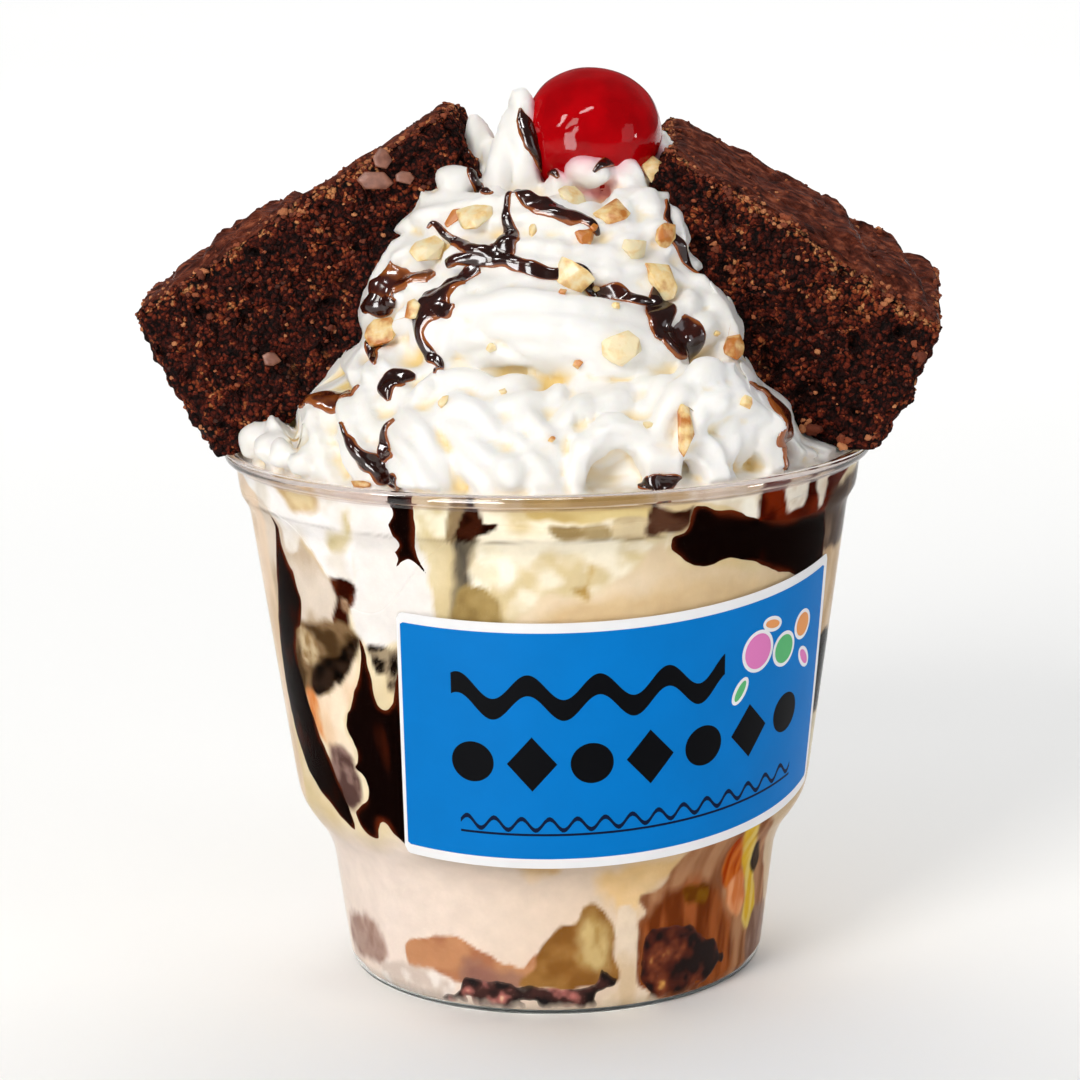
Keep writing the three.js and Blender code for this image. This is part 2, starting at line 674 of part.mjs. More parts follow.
addPart('cup', makeCup(), 0xe9eef0, 0.08);
addPart('ice_cream', iceCream, 0xe8dcc6, 0.5);
addPart('fudge_pool', sauce(FUDGE, FUDGE_DEPTH), 0x1d0f0b, 0.2);
addPart('sauce_left', sauce(SAUCE_LEFT, SAUCE_DEPTH), 0x24110c, 0.2);
addPart('sauce_front', sauce(SAUCE_FRONT, SAUCE_DEPTH), 0x24110c, 0.2);
addPart('sauce_drip', sauce(SAUCE_DRIP, SAUCE_DEPTH), 0x24110c, 0.2);
for (const [name, { place, size }] of Object.entries(LUMPS)) {
  addPart(name, brownieLump(place, size, 0).intersect(inFill), 0x38200f, 0.85);
}
addPart('whipped_cream', cream, 0xf6f1e6, 0.45);
addPart('brownie_left', slab(LEFT_SLAB, 0).subtract(cupSpace), 0x3a1f14, 0.9);
addPart('brownie_right', slab(RIGHT_SLAB, 0).subtract(cupSpace).subtract(cherrySolid(GAP)), 0x3a1f14, 0.9);
addPart('cherry', cherrySolid(0), 0x8e0410, 0.08);
addPart('label', makeLabel(), 0x0b6cbd, 0.35);

export default group;
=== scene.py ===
import math

import bmesh
import bpy
import numpy as np
from mathutils import Matrix, Vector
from mathutils.bvhtree import BVHTree


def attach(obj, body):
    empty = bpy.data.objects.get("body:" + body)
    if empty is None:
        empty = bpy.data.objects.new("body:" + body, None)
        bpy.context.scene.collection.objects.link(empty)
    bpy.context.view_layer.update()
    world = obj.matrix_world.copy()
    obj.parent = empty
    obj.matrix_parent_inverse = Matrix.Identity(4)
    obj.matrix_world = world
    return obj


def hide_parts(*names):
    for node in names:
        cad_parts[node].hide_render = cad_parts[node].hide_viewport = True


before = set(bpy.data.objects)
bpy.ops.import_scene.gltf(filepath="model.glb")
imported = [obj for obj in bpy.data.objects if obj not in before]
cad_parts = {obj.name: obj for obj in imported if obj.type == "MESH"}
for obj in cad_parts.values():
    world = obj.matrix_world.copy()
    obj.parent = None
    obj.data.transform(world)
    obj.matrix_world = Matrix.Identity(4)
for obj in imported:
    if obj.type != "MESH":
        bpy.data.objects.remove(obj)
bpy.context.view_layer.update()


# ---- Camera, floor and light ---------------------------------------------------------
# A counter covered with a pale seamless sheet of paper. The camera has a long portrait lens
# and stands half a metre off, a little above the rim, and the light comes from soft boxes.

MM = 0.001
scene = bpy.context.scene


def linear(code):
    """A hex colour of the screen as linear red, green, blue and alpha."""
    parts = [int(code[i:i + 2], 16) / 255 for i in (1, 3, 5)]
    return [c / 12.92 if c <= 0.04045 else ((c + 0.055) / 1.055) ** 2.4 for c in parts] + [1.0]


def add(tree, kind, inputs=None, stops=(), **settings):
    """A new node with its settings. An input takes a value, or a socket to be linked to, and
    stops are the places from 0 to 1 and the hex colours of a run of colours."""
    node = tree.nodes.new("ShaderNode" + kind)
    for name, value in settings.items():
        setattr(node, name, value)
    for name, value in (inputs or {}).items():
        if isinstance(value, bpy.types.NodeSocket):
            tree.links.new(value, node.inputs[name])
        else:
            node.inputs[name].default_value = value
    if stops:
        run = node.color_ramp.elements
        run[0].position, run[1].position = stops[0][0], stops[-1][0]
        for place, _ in stops[1:-1]:
            run.new(place)
        for stop, (_, colour) in zip(run, stops):
            stop.color = linear(colour)
    return node


def finish_of(name, **inputs):
    """A new material with one Principled surface, and its tree, to be given its pattern."""
    finish = bpy.data.materials.new(name)
    finish.use_nodes = True
    tree = finish.node_tree
    tree.nodes.clear()
    surface = add(tree, "BsdfPrincipled", {k.replace("_", " "): v for k, v in inputs.items()})
    add(tree, "OutputMaterial", {"Surface": surface.outputs[0]})
    return finish, tree, surface


CAMERA_PLACE = Vector((-1.4, -516.9, 172.9)) * MM
CAMERA_AIM = Vector((-1.4, 0, 65.3)) * MM
CAMERA_ROLL = math.radians(1.0)
FOCAL_PIXELS = 3460
FRAME_PIXELS = 1080
SENSOR = 36

camera_data = bpy.data.cameras.new("camera")
camera_data.sensor_width = SENSOR
camera_data.lens = SENSOR * FOCAL_PIXELS / FRAME_PIXELS
camera_data.clip_start = 0.05
camera = bpy.data.objects.new("camera", camera_data)
scene.collection.objects.link(camera)
scene.camera = camera
forward = (CAMERA_AIM - CAMERA_PLACE).normalized()
level = forward.cross(Vector((0, 0, 1))).normalized()
upright = level.cross(forward)
right = level * math.cos(CAMERA_ROLL) - upright * math.sin(CAMERA_ROLL)
over = level * math.sin(CAMERA_ROLL) + upright * math.cos(CAMERA_ROLL)
facing = Matrix((right, over, -forward)).transposed().to_4x4()
camera.matrix_world = Matrix.Translation(CAMERA_PLACE) @ facing


def soft_box(name, place, aim, size, watts, colour="#FFFFFF"):
    """A lamp behind a rectangle of cloth: its place, aim and size in metres."""
    data = bpy.data.lights.new(name, "AREA")
    data.shape = "RECTANGLE"
    data.size, data.size_y = size
    data.energy = watts
    data.color = linear(colour)[:3]
    lamp = bpy.data.objects.new(name, data)
    scene.collection.objects.link(lamp)
    lamp.location = place
    lamp.rotation_euler = (Vector(aim) - Vector(place)).to_track_quat("-Z", "Y").to_euler()
    return lamp


soft_box("key_box", (-0.40, -0.68, 0.56), (0, 0, 0.08), (0.30, 0.36), 4.4, "#FFFBF5")
soft_box("fill_box", (0.85, -0.55, 0.30), (0, 0, 0.07), (0.35, 0.6), 1.3, "#F8FAFF")
# Large boxes that lift the shadows and the backdrop, and are in no reflection.
for name, place, aim, size, watts in (
        ("top_box", (0, -0.15, 1.2), (0, 0, 0), (1.2, 1.2), 3.0),
        ("front_box", (0, -1.5, 0.4), (0, 0, 0.05), (2.4, 0.7), 2.6),
        ("near_backdrop_box", (0, 0.9, 0.9), (0, 0.9, 0), (2.6, 1.0), 7),
        ("backdrop_box", (0, 3.2, 2.0), (0, 3.2, 0), (6, 4.4), 120)):
    soft_box(name, place, aim, size, watts).visible_glossy = False
# Small bright panes that only show as glints on whatever is wet.
CHERRY_AIM = (0, 0, 0.125)
for name, place, size, watts in (
        ("pane_above", (-0.03, -0.45, 0.93), (0.34, 0.16), 5.0),
        ("pane_left", (-0.68, -0.30, 0.66), (0.12, 0.26), 3.0),
        ("pane_low_left", (-0.184, -0.36, 0.077), (0.18, 0.24), 2.4),
        ("pane_right", (0.82, -0.24, 0.14), (0.10, 0.12), 1.2)):
    pane = soft_box(name, place, CHERRY_AIM, size, watts)
    pane.visible_diffuse = pane.visible_transmission = False

ROOM_LIGHT = 0.14
world = bpy.data.worlds.new("studio")
world.use_nodes = True
scene.world = world
room = world.node_tree.nodes["Background"].inputs
room["Color"].default_value = linear("#F7F8FA")
room["Strength"].default_value = ROOM_LIGHT
scene.view_settings.view_transform = "Standard"

FLOOR_REACH = 40.0
sheet_mesh = bpy.data.meshes.new("paper_sheet")
sheet_mesh.from_pydata(
    [(x * FLOOR_REACH, y * FLOOR_REACH, 0) for x, y in ((-1, -1), (1, -1), (1, 1), (-1, 1))],
    [], [(0, 1, 2, 3)])
sheet = bpy.data.objects.new("paper_sheet", sheet_mesh)
scene.collection.objects.link(sheet)
backdrop_paper, _, _ = finish_of("seamless_paper", Base_Color=linear("#FAFAF9"), Roughness=0.9)
sheet_mesh.materials.append(backdrop_paper)


# ---- Cup -----------------------------------------------------------------------------
# A squat dessert cup, thermoformed from one clear sheet of PET: a narrow foot, a stepped
# shoulder, a straight flared wall, a band that stops stacked cups and a rolled rim.

# The outside as radius and height, from the foot to the band under the rim; it is straight
# from FOOT_ENDS on.
CUP_OUTSIDE = [
    (30.4, 0.0), (31.2, 0.5), (31.7, 1.3), (32.0, 2.4), (32.9, 9.5), (33.9, 17.2),
    (34.2, 18.9), (34.7, 20.4), (35.5, 22.1), (36.4, 23.5), (37.4, 24.8), (38.2, 26.1),
    (38.8, 27.3), (39.2, 28.6), (39.6, 30.9), (42.4, 51.0), (45.2, 71.1), (45.45, 72.4),
    (45.9, 73.4), (46.6, 74.6), (46.8, 75.5), (47.0, 77.0), (47.3, 79.0),
]
FOOT_ENDS = 3
CUP_WALL = 0.6
PUSH_UP = 1.6
BASE_UNDER = [(12.0, PUSH_UP), (24.0, PUSH_UP), (26.5, PUSH_UP - 0.3), (28.0, 0.3), (28.6, 0.0)]
CUP_SIDES = 180
RIM_MIDDLE = (48.0, 80.6)
RIM_TUBE = 0.95
RIM_TOP = RIM_MIDDLE[1] + RIM_TUBE
DRY_ABOVE = 79.2


def skin(rings, start=None, end=None):
    """Points and faces of a tube through closed rings, shut by a point at either end."""
    count, around, _ = rings.shape
    points = rings.reshape(-1, 3)
    grid = np.arange(count * around).reshape(count, around)
    rows = range(count - 1) if start is not None else range(count)
    faces = []
    for i in rows:
        low, high = grid[i], grid[(i + 1) % count]
        faces.append(np.stack([low, np.roll(low, -1), np.roll(high, -1), high], 1))
    faces = [tuple(face) for face in np.concatenate(faces).tolist()]
    if start is not None:
        points = np.concatenate([points, [start, end]])
        first, last = len(points) - 2, len(points) - 1
        faces += [(first, b, a) for a, b in zip(grid[0].tolist(), np.roll(grid[0], -1).tolist())]
        faces += [(last, a, b) for a, b in zip(grid[-1].tolist(), np.roll(grid[-1], -1).tolist())]
    return points, faces


def on_round(azimuth, radius, height):
    """Points in mm from azimuths in degrees, 0 at the front and growing to the right."""
    turn = np.radians(azimuth)
    x, y, z = np.broadcast_arrays(radius * np.sin(turn), -radius * np.cos(turn), height)
    return np.stack([x, y, z], -1)


def piece(name, points, faces, finish, slot, *nodes):
    """A mesh in place: points in mm, its finish, a slot that is not used, the nodes it stands for."""
    mesh = bpy.data.meshes.new(name)
    mesh.from_pydata((np.asarray(points, float) * MM).tolist(), [], faces)
    mesh.validate()
    mesh.materials.append(finish)
    mesh.shade_smooth()
    thing = bpy.data.objects.new(name, mesh)
    scene.collection.objects.link(thing)
    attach(thing, "root")
    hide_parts(*nodes)
    return thing


def inner_radius(height):
    """The radius of the wall's inside at a height above the foot."""
    radii, heights = np.array(CUP_OUTSIDE[FOOT_ENDS:]).T
    return np.interp(height, heights, radii) - CUP_WALL


# The rim is a tube that is open underneath, where the wall goes into it.
rim_turns = np.radians(np.arange(-110, 181, 14))
rim_points = [(RIM_MIDDLE[0] + RIM_TUBE * math.cos(a), RIM_MIDDLE[1] + RIM_TUBE * math.sin(a))
              for a in rim_turns]
inside = [(r - CUP_WALL, max(z, CUP_WALL)) for r, z in CUP_OUTSIDE[1:]]
base_over = [(r, z + CUP_WALL) for r, z in BASE_UNDER]
profile = np.array(BASE_UNDER + CUP_OUTSIDE + rim_points + inside[::-1] + base_over[::-1])
azimuths = np.arange(CUP_SIDES) * 360 / CUP_SIDES
rings = np.array([on_round(azimuths, r, z) for r, z in profile])
cup_points, cup_faces = skin(rings, (0, 0, PUSH_UP), (0, 0, PUSH_UP + CUP_WALL))

# Clear PET: almost no roughness, so it shows only as bright edges and reflections. The wall
# that the dessert wets mirrors less than the dry rim, so it has a lower index of its own.
def plastic(name, index, colour):
    """Clear sheet that lets the lamps' light through unbent."""
    finish, tree, pet = finish_of(
        name, Base_Color=linear(colour), Roughness=0.02, IOR=index, Transmission_Weight=1.0)
    shadow_ray = add(tree, "LightPath").outputs["Is Shadow Ray"]
    lets_light = add(tree, "BsdfTransparent", {"Color": linear("#F6F8F8")})
    wall = add(tree, "MixShader", {0: shadow_ray, 1: pet.outputs[0], 2: lets_light.outputs[0]})
    tree.links.new(wall.outputs[0], tree.nodes["Material Output"].inputs["Surface"])
    return finish


cup = piece("cup", cup_points, cup_faces, plastic("clear_pet", 1.035, "#FDFEFE"), "clear_cup", "cup")
# The rim's pinkish grey tint is painted shade: it stands in for the dark lines a thick clear rim bends into
# view.
cup.data.materials.append(plastic("clear_pet_rim", 1.53, "#DCD0CA"))
for side in cup.data.polygons:
    side.material_index = int(side.center[2] > DRY_ABOVE * MM)


# ---- Ice cream -----------------------------------------------------------------------
# Soft vanilla ice cream, spooned in and pressed against the wall, where it has begun to
# melt. It fills the cup, dips at the left, and shows through the wall as a smooth skin.

ICE_TOP = 76.5
ICE_LOWEST = 2.4
ICE_EDGE = 45.0
ICE_DIP = 15
ICE_DIP_PLACE = (-37, 44)
ICE_DIP_WIDTH = 11
INTO_WALL = 0.12
WALL_MM_PER_DEGREE = 0.75
ICE_ROWS = 150
# Points round the wall, closer at the front and the sides than at the back.
WALL_AZIMUTHS = np.concatenate([np.linspace(-95, 95, 306, False), np.linspace(95, 265, 154, False)])

# What lies against the wall, from the back layer to the front one: two colours, the grain
# of their mix across and up in mm, the softness of the edge, and the outline as azimuths
# and heights. Whites are whipped cream, tans are melt, and the browns at the foot are brownie
# and sauce that the melt has washed out. The greys and near-blacks are painted shade in the
# gaps between scoops, and the tan by the rim at the left is painted shade in folds of cream.
AGAINST_WALL = [
    ("#E6D3BF", "#D9C3A9", (6, 9), 2, [
     (-104, 82), (-68, 77), (-70, 60), (-74, 44), (-76, 28), (-90, 31), (-98, 46), (-93, 62)]),
    ("#DDD2C6", "#C6B6A2", (4, 7), 1.5, [
     (-66, 78), (-58, 78), (-54, 72), (-47, 67.5), (-44, 66), (-46, 61), (-53.5, 58), (-62, 56),
     (-70, 60)]),
    ("#F0EDEC", "#E4DED6", (4, 4), 0.5, [
     (-80, 80.5), (-50, 81), (-34, 81), (-35, 74), (-39, 70.5), (-39.5, 68.5), (-40, 66.5),
     (-42.5, 65.3), (-45, 66.5), (-47, 67), (-48.5, 68.5), (-50.5, 70), (-53.5, 71.5), (-56, 69.5),
     (-59.5, 69), (-60.5, 73), (-64, 76)]),
    # Painted shade: tan in the folds of the cream by the rim.
    ("#C9B08A", "#DAC9A6", (3, 3), 1.4, [
     (-57, 80), (-51, 79.8), (-46, 80.5), (-44.5, 79), (-47, 76.5), (-53, 76)]),
    ("#D0C3A0", "#DDD3B6", (3, 3), 1.2, [
     (-39.5, 77.5), (-36, 78.5), (-35, 76.5), (-36.5, 75), (-39.5, 72), (-43, 71), (-45.5, 71.5),
     (-44, 73.5), (-40, 74.5)]),
    ("#F0EDEE", "#E9E5E2", (9, 9), 0.7, [
     (-38, 73.5), (-36, 81), (-29, 81), (-22.5, 77), (-22.5, 69), (-22, 66), (-21, 60), (-29.5, 59),
     (-33.5, 57.5), (-37, 56), (-39.5, 57.8), (-41, 61), (-41, 64), (-39.5, 67), (-39.5, 70.5)]),
    ("#EFE9D6", "#D3C6A2", (2.4, 2.4), 0.8, [
     (-24, 81), (-17, 81), (-17.5, 75), (-23.5, 73)]),
    ("#E0D4B6", "#D3C4A1", (5, 9), 0.8, [
     (-23.5, 74), (-17.5, 75), (-16.5, 71), (-18, 60), (-21.5, 60), (-22, 67)]),
    ("#EEE6D4", "#D8C9A6", (3.4, 3), 1.2, [
     (-14, 81), (18, 81), (21, 73), (17.5, 71), (13, 68.5), (6.5, 66), (-2, 60), (-9.5, 60),
     (-11, 66.5), (-15, 68.5), (-14, 72.5), (-13, 76)]),
    ("#F4EFE2", "#EAE2CC", (2, 2), 1, [
     (-12.5, 74), (-10, 74.5), (-8.5, 72.5), (-11, 70.8), (-13.3, 71.5)]),
    ("#F3EDDF", "#E8DFC8", (2, 2), 1.2, [
     (-10, 71.5), (-6.5, 71.5), (-6, 69), (-9, 67.5), (-11, 69)]),
    ("#F3EDDF", "#E8DFC8", (2, 2), 1, [
     (-14.8, 70), (-11.5, 70.2), (-11, 68), (-13, 66.8), (-15.2, 68.5)]),
    ("#E4D4BC", "#DAC7AA", (12, 8), 0.9, [
     (20, 74), (22.5, 71.5), (25.5, 69.5), (35, 69), (43.5, 67), (66, 67), (68, 56), (-4, 56), (-2, 66),
     (6.5, 66), (13, 68.5), (17.5, 71)]),
    ("#DCC6A4", "#D3BC98", (9, 6), 2.5, [
     (13, 66), (24.5, 67), (38.5, 66.5), (52, 65), (52, 58), (-2, 58), (1, 64.5)]),
    ("#B79C62", "#C9B17C", (2, 2), 0.7, [
     (7, 70.7), (6.3, 68.5), (4.3, 67), (6.5, 65.8), (7.3, 68), (7.8, 70)]),
    ("#DCCB9C", "#C9B480", (9, 2), 0.8, [
     (-3, 81), (17, 80.5), (17, 77.6), (11, 77.4), (-1.5, 77.6)]),
    ("#B0A07C", "#A08E68", (3, 2), 0.7, [
     (0.5, 76.5), (3.5, 77), (8.5, 77), (10, 77), (11, 75), (5.5, 75), (1.5, 75)]),
    ("#D2C4A6", "#C2B190", (3, 2), 0.6, [
     (11.5, 77.5), (17, 77.5), (17, 74.5), (13, 74.5), (11, 75.5)]),
    ("#8B8672", "#68645A", (1.6, 5), 1, [
     (-16.8, 76), (-13, 75), (-14, 72.5), (-15, 68.5), (-16.8, 60), (-18.8, 60), (-17.5, 71)]),
    ("#B19E70", "#9A875A", (3, 3), 0.6, [
     (-17, 67), (-14, 67.7), (-11, 66.7), (-9.3, 65), (-9, 60), (-18.3, 60)]),
    ("#AB9C7C", "#96866A", (2, 4), 0.5, [
     (-17.2, 80.5), (-14, 80.5), (-15.5, 77), (-15.8, 75), (-17.8, 75)]),
    ("#241009", "#45271A", (1.6, 2), 0.3, [
     (-14.3, 80.5), (-12.8, 80.5), (-11.5, 77.3), (-9.2, 77), (-11.5, 75.4), (-13.5, 74.8),
     (-16.2, 74.8), (-15.6, 77)]),
    ("#3A170C", "#643722", (1.6, 3), 0.5, [
     (-45.2, 66.8), (-40, 66.2), (-40.4, 63.5), (-42, 62), (-42.5, 59.8), (-45, 59), (-47, 60.3),
     (-45.3, 63.5)]),
    ("#B09880", "#93775F", (1, 1), 0.6, [
     (-43.9, 63.7), (-41.7, 63.9), (-41.7, 62), (-43.6, 61.8)]),
    ("#8A765A", "#57462F", (2.6, 2.2), 1, [
     (-63, 59), (-56, 58.5), (-48, 60.3), (-43.5, 59.8), (-40, 57.8), (-43, 54), (-46.5, 52),
     (-53, 47.5), (-63, 46), (-65, 51.5), (-64, 55)]),
    ("#CDBDA0", "#A08A68", (1.3, 1.3), 1, [
     (-59.5, 57), (-55, 57.4), (-53, 54.5), (-56, 51.8), (-60, 53)]),
    # Painted shade: a near-black gap between scoops.
    ("#15100C", "#3B3027", (1.4, 1.4), 0.8, [
     (-47.5, 54.7), (-43.5, 56.8), (-40.3, 58), (-42, 55.3), (-45.5, 51.8), (-49.5, 49.5), (-57, 47),
     (-58, 50), (-53.5, 53)]),
    # Painted shade: a grey to black gap between scoops.
    ("#A69A84", "#1E1915", (1.1, 1.1), 0.6, [
     (-38, 57), (-33, 57.4), (-30, 57), (-31, 51), (-34, 51), (-34.5, 53), (-36.8, 53.3)]),
    ("#F2E2CE", "#E6CCB0", (4, 7), 0.8, [
     (-63, 46.5), (-54, 48), (-45.5, 51.5), (-41.5, 55), (-44, 49), (-48, 44), (-46, 40), (-49, 37),
     (-53, 38), (-60, 42)]),
    ("#D9935C", "#E5B284", (1.5, 4), 1, [
     (-62, 47), (-58, 47.5), (-56.5, 43.5), (-55.5, 40), (-59, 42)]),
    ("#66524E", "#9A857E", (1.6, 1.6), 1, [
     (-54, 39.8), (-47.5, 39.2), (-45.5, 33), (-50.5, 30), (-55.5, 35)]),
    ("#BCA69C", "#A48B82", (3, 3), 1.6, [
     (-76, 8.5), (-63, 11), (-56, 10.7), (-53.5, 8), (-53, 5.3), (-61, 3.8), (-78, 3.8)]),
    ("#F0D3A8", "#E8C898", (6, 6), 2.5, [
     (11.5, 23), (33, 24.5), (26, 19), (22, 17.5), (19, 14), (14.5, 17.5)]),
    ("#DDBC90", "#E8CCA6", (4, 2), 2.4, [
     (-8, 26.3), (2, 26.3), (-1, 23), (-6, 22.8)]),
    ("#C89A78", "#B58468", (5, 2.4), 0.4, [
     (-43.5, 9), (-37, 11), (-30.5, 11.8), (-24.5, 11.6), (-18.5, 9.6), (-12.5, 8), (-8.5, 8), (-5, 10),
     (-5.5, 6.5), (-9, 4.5), (-26, 4.5), (-28.5, 4), (-34, 5.3), (-43.5, 5.3)]),
    ("#A27C70", "#AC8876", (4, 2), 1.4, [
     (-24, 8.5), (-16, 7.3), (-9, 7), (-7, 4.5), (-26, 4.5)]),
    ("#A5814F", "#926C3C", (4, 2.6), 0.5, [
     (-5.5, 9.5), (-2.5, 12.5), (1.5, 14.5), (4.5, 14.8), (9, 18.3), (14.7, 14), (15.3, 9), (16.3, 5),
     (-9, 4.5), (-6, 7.5)]),
    ("#D2BC8C", "#B89C66", (2, 2.8), 2.6, [
     (5.5, 13.4), (9, 16.4), (13, 14.4), (14.2, 10), (11, 6.4), (6.5, 8.6)]),
    ("#EDE6E0", "#D6C9C0", (2.6, 2), 0.9, [
     (-44, 5.6), (-34, 5.6), (-28.2, 4), (-34, 0.6), (-58, 0.6), (-54, 4.6)]),
    ("#C49A78", "#9A6E50", (2.2, 15), 0.6, [
     (22, 18), (27, 19.3), (34, 26), (46.5, 27.5), (58, 27), (74, 14), (78, 3), (66, 0.6), (29, 0.6),
     (22.5, 4.5), (20.8, 10), (20.8, 14), (23, 15.5)]),
    ("#AE6E44", "#7C4626", (1.8, 9), 2.6, [
     (21.2, 11), (25, 15.5), (33, 19), (42, 18.5), (49, 14.5), (55, 8), (54, 1), (27, 1), (21.7, 4)]),
    ("#8F6826", "#7A4F20", (2, 1.5), 0.6, [
     (34.5, 18.3), (42, 17.8), (42.3, 15.3), (36, 15.8)]),
    ("#B14E18", "#DB8440", (1.1, 5), 0.6, [
     (46.3, 23.8), (49.5, 24.8), (56.3, 18.5), (53.3, 15.6), (48.3, 17)]),
    ("#F0B488", "#DE8E5A", (1.5, 5), 0.7, [
     (51, 16.8), (57.3, 17.8), (59.3, 12), (56, 10.6), (50.8, 14)]),
    ("#E6C048", "#EED68A", (1.5, 6), 0.6, [
     (48, 26.5), (53.5, 26), (61.5, 19), (68, 10), (65, 7.6), (60.5, 9.5), (59, 16.5)]),
    ("#3A332E", "#55493E", (1.5, 3), 0.5, [
     (60.8, 19), (60, 22.3), (66, 18.5), (63, 16.8)]),
    ("#A88E80", "#8E7264", (2, 5), 0.9, [
     (65, 8.8), (74, 10), (82, 8), (84, 3), (78, 1), (66, 1.2)]),
    ("#ECDCC8", "#DCC7AB", (3, 6), 0.5, [
     (15.6, 16), (20.6, 16), (21.3, 9), (21.8, 4.5), (29, 0.5), (11.5, 0.5), (11.8, 2.5), (16.2, 3.5),
     (16.2, 7)]),
    ("#63493A", "#3C2318", (2.5, 2), 0.5, [
     (17.7, 80), (19.5, 78.7), (23, 77.7), (25.8, 78.7), (24, 75), (20.5, 75), (17, 75.3)]),
    ("#7D3418", "#501A0A", (2, 3), 0.6, [
     (37, 80.5), (70, 80.5), (66.5, 77), (63.5, 73), (41.5, 74), (38.5, 76.5)]),
    ("#F4EEE2", "#E5DAC6", (2, 2), 0.4, [
     (24, 81), (38.5, 81), (39.8, 76.8), (39.6, 75.3), (38, 75.2), (34.5, 77.5), (28, 79)]),
    ("#F1E9DC", "#DDCDB8", (2, 2), 0.4, [
     (46.5, 81), (51.8, 81), (52.2, 76.5), (49.5, 75.2), (47.3, 76)]),
    ("#EFE5D6", "#DDCDB8", (2, 2), 0.4, [
     (54, 81), (59, 81), (59.8, 77), (58.4, 74.6), (56.3, 77.5)]),
    ("#5F5147", "#8C7B6A", (2.4, 5), 1.2, [
     (62.5, 76), (78, 78), (88, 81), (90, 74), (85, 68), (80, 66.5), (66, 66), (63, 68)]),
    ("#E4CDB0", "#D3B896", (3, 6), 0.8, [
     (65.5, 66.3), (80, 66), (94, 66), (102, 59), (96, 51), (84, 49), (70.5, 52), (67.5, 60)]),
    # Painted shade: a near-black gap between scoops.
    ("#120D0A", "#2A1F18", (2, 4), 0.5, [
     (71, 52), (80, 52.5), (86, 49), (85.5, 44), (82, 40), (75, 41)]),
]
# The same for the back, with azimuths from the middle of the back; its near-blacks are sauce
# and its greys are painted shade in gaps between scoops.
BEHIND = [
    ("#E2D3B4", "#CDB98F", (8, 9), 4, [
     (-92, 62), (-64, 68), (-34, 60), (-38, 44), (-66, 36), (-96, 44)]),
    ("#F4F0EA", "#E6DDD0", (5, 5), 0.8, [
     (-82, 83), (-52, 83), (-46, 76), (-50, 69), (-60, 66.5), (-68, 71), (-80, 73)]),
    ("#DBC39C", "#CBAF7E", (7, 4), 2.5, [
     (-34, 58), (-20, 64), (4, 61), (20, 56), (14, 48), (-14, 43), (-30, 47)]),
    ("#F2ECE0", "#E4D8C4", (4, 4), 0.9, [
     (6, 80), (20, 80), (22, 70), (16, 64), (6, 62), (0, 68), (1, 76)]),
    ("#9A9078", "#6E675A", (2, 4), 0.8, [
     (20, 70), (26, 66), (27, 60), (33, 55), (31, 51), (24, 55), (20, 62)]),
    ("#EFE0CB", "#DCC6A4", (6, 5), 1.6, [
     (34, 60), (48, 66), (66, 62), (74, 50), (60, 40), (42, 42), (32, 50)]),
    ("#2A130A", "#5A2A16", (1.6, 3), 0.4, [
     (-27, 83), (-9, 83), (-10, 74), (-13, 65), (-11.5, 57), (-13, 49), (-16, 45), (-18.5, 50),
     (-17.5, 58), (-20.5, 66), (-21, 74)]),
    ("#150805", "#3E1A0D", (2, 4), 0.4, [
     (24, 83), (52, 83), (47, 77), (44, 71.5), (37, 69), (33.5, 62), (30.5, 59.5), (29, 64), (30, 70),
     (26, 75)]),
    ("#1A0A06", "#4A2010", (1.4, 4), 0.4, [
     (60, 64), (66, 65.5), (71, 60), (69.5, 51), (65, 44), (58, 37.5), (54.5, 39), (60, 46), (63.5, 53),
     (63, 59)]),
    ("#1C0C07", "#552714", (1.4, 3), 0.4, [
     (-70, 46), (-64, 47.5), (-57, 41), (-50, 33), (-44, 27.5), (-46, 25), (-53, 28), (-61, 34.5),
     (-68, 40)]),
    ("#F0E6DA", "#DFD0BE", (4, 3), 1, [
     (-44, 36), (-32, 39), (-20, 34), (-24, 27), (-38, 25), (-46, 29)]),
    ("#8A7A66", "#5A4C3E", (2, 2), 0.9, [
     (-12, 37), (-4, 40), (4, 37), (2, 32.5), (-8, 32)]),
    ("#C99C7A", "#B0846A", (5, 2.4), 0.5, [
     (-60, 10), (-48, 13), (-36, 11), (-34, 6), (-46, 3.6), (-60, 4)]),
    ("#4E2418", "#1E0B07", (2, 2), 0.6, [
     (-30, 12), (-20, 16), (-8, 15.4), (2, 12.6), (6, 7), (0, 2.6), (-14, 1.6), (-28, 3)]),
    ("#E7D2B2", "#D3B78C", (4, 3), 1.2, [
     (8, 24), (22, 27), (34, 24), (38, 17), (24, 13), (10, 16)]),
    ("#B07A50", "#8A5730", (2, 6), 1.2, [
     (26, 12), (38, 15), (52, 12), (56, 5), (44, 1.6), (28, 2.4)]),
    ("#EAD9BC", "#D9C19A", (3, 4), 1, [
     (62, 20), (72, 23), (80, 18), (78, 8), (66, 6), (60, 12)]),
]
# Where the steps of the cup's band shade what is behind them: height and half the width.
STEP_LINES = ((74.55, 0.22), (79.4, 0.2))
# Below this height the foot is filled with paler melt.
MELT_LINE = 29
# How much darker and warmer the colours are than the table's, for the wet plastic over them.
BEHIND_WALL, WALL_WARMTH = 0.83, (1.20, 1.26, 1.28)


def lattice(cell, seed):
    """A fixed number from 0 to 1 for each whole-numbered cell, unlike its neighbours'."""
    x, y, z = (np.floor(cell[..., i]).astype(np.int64).astype(np.uint32) for i in range(3))
    h = x * np.uint32(374761393) + y * np.uint32(668265263) + z * np.uint32(2246822519)
    h = h + np.uint32(seed * 3266489917 % 2**32)
    for shift, factor in ((15, 2246822519), (13, 3266489917)):
        h = (h ^ (h >> np.uint32(shift))) * np.uint32(factor)
    return (h ^ (h >> np.uint32(16))).astype(float) / 2**32


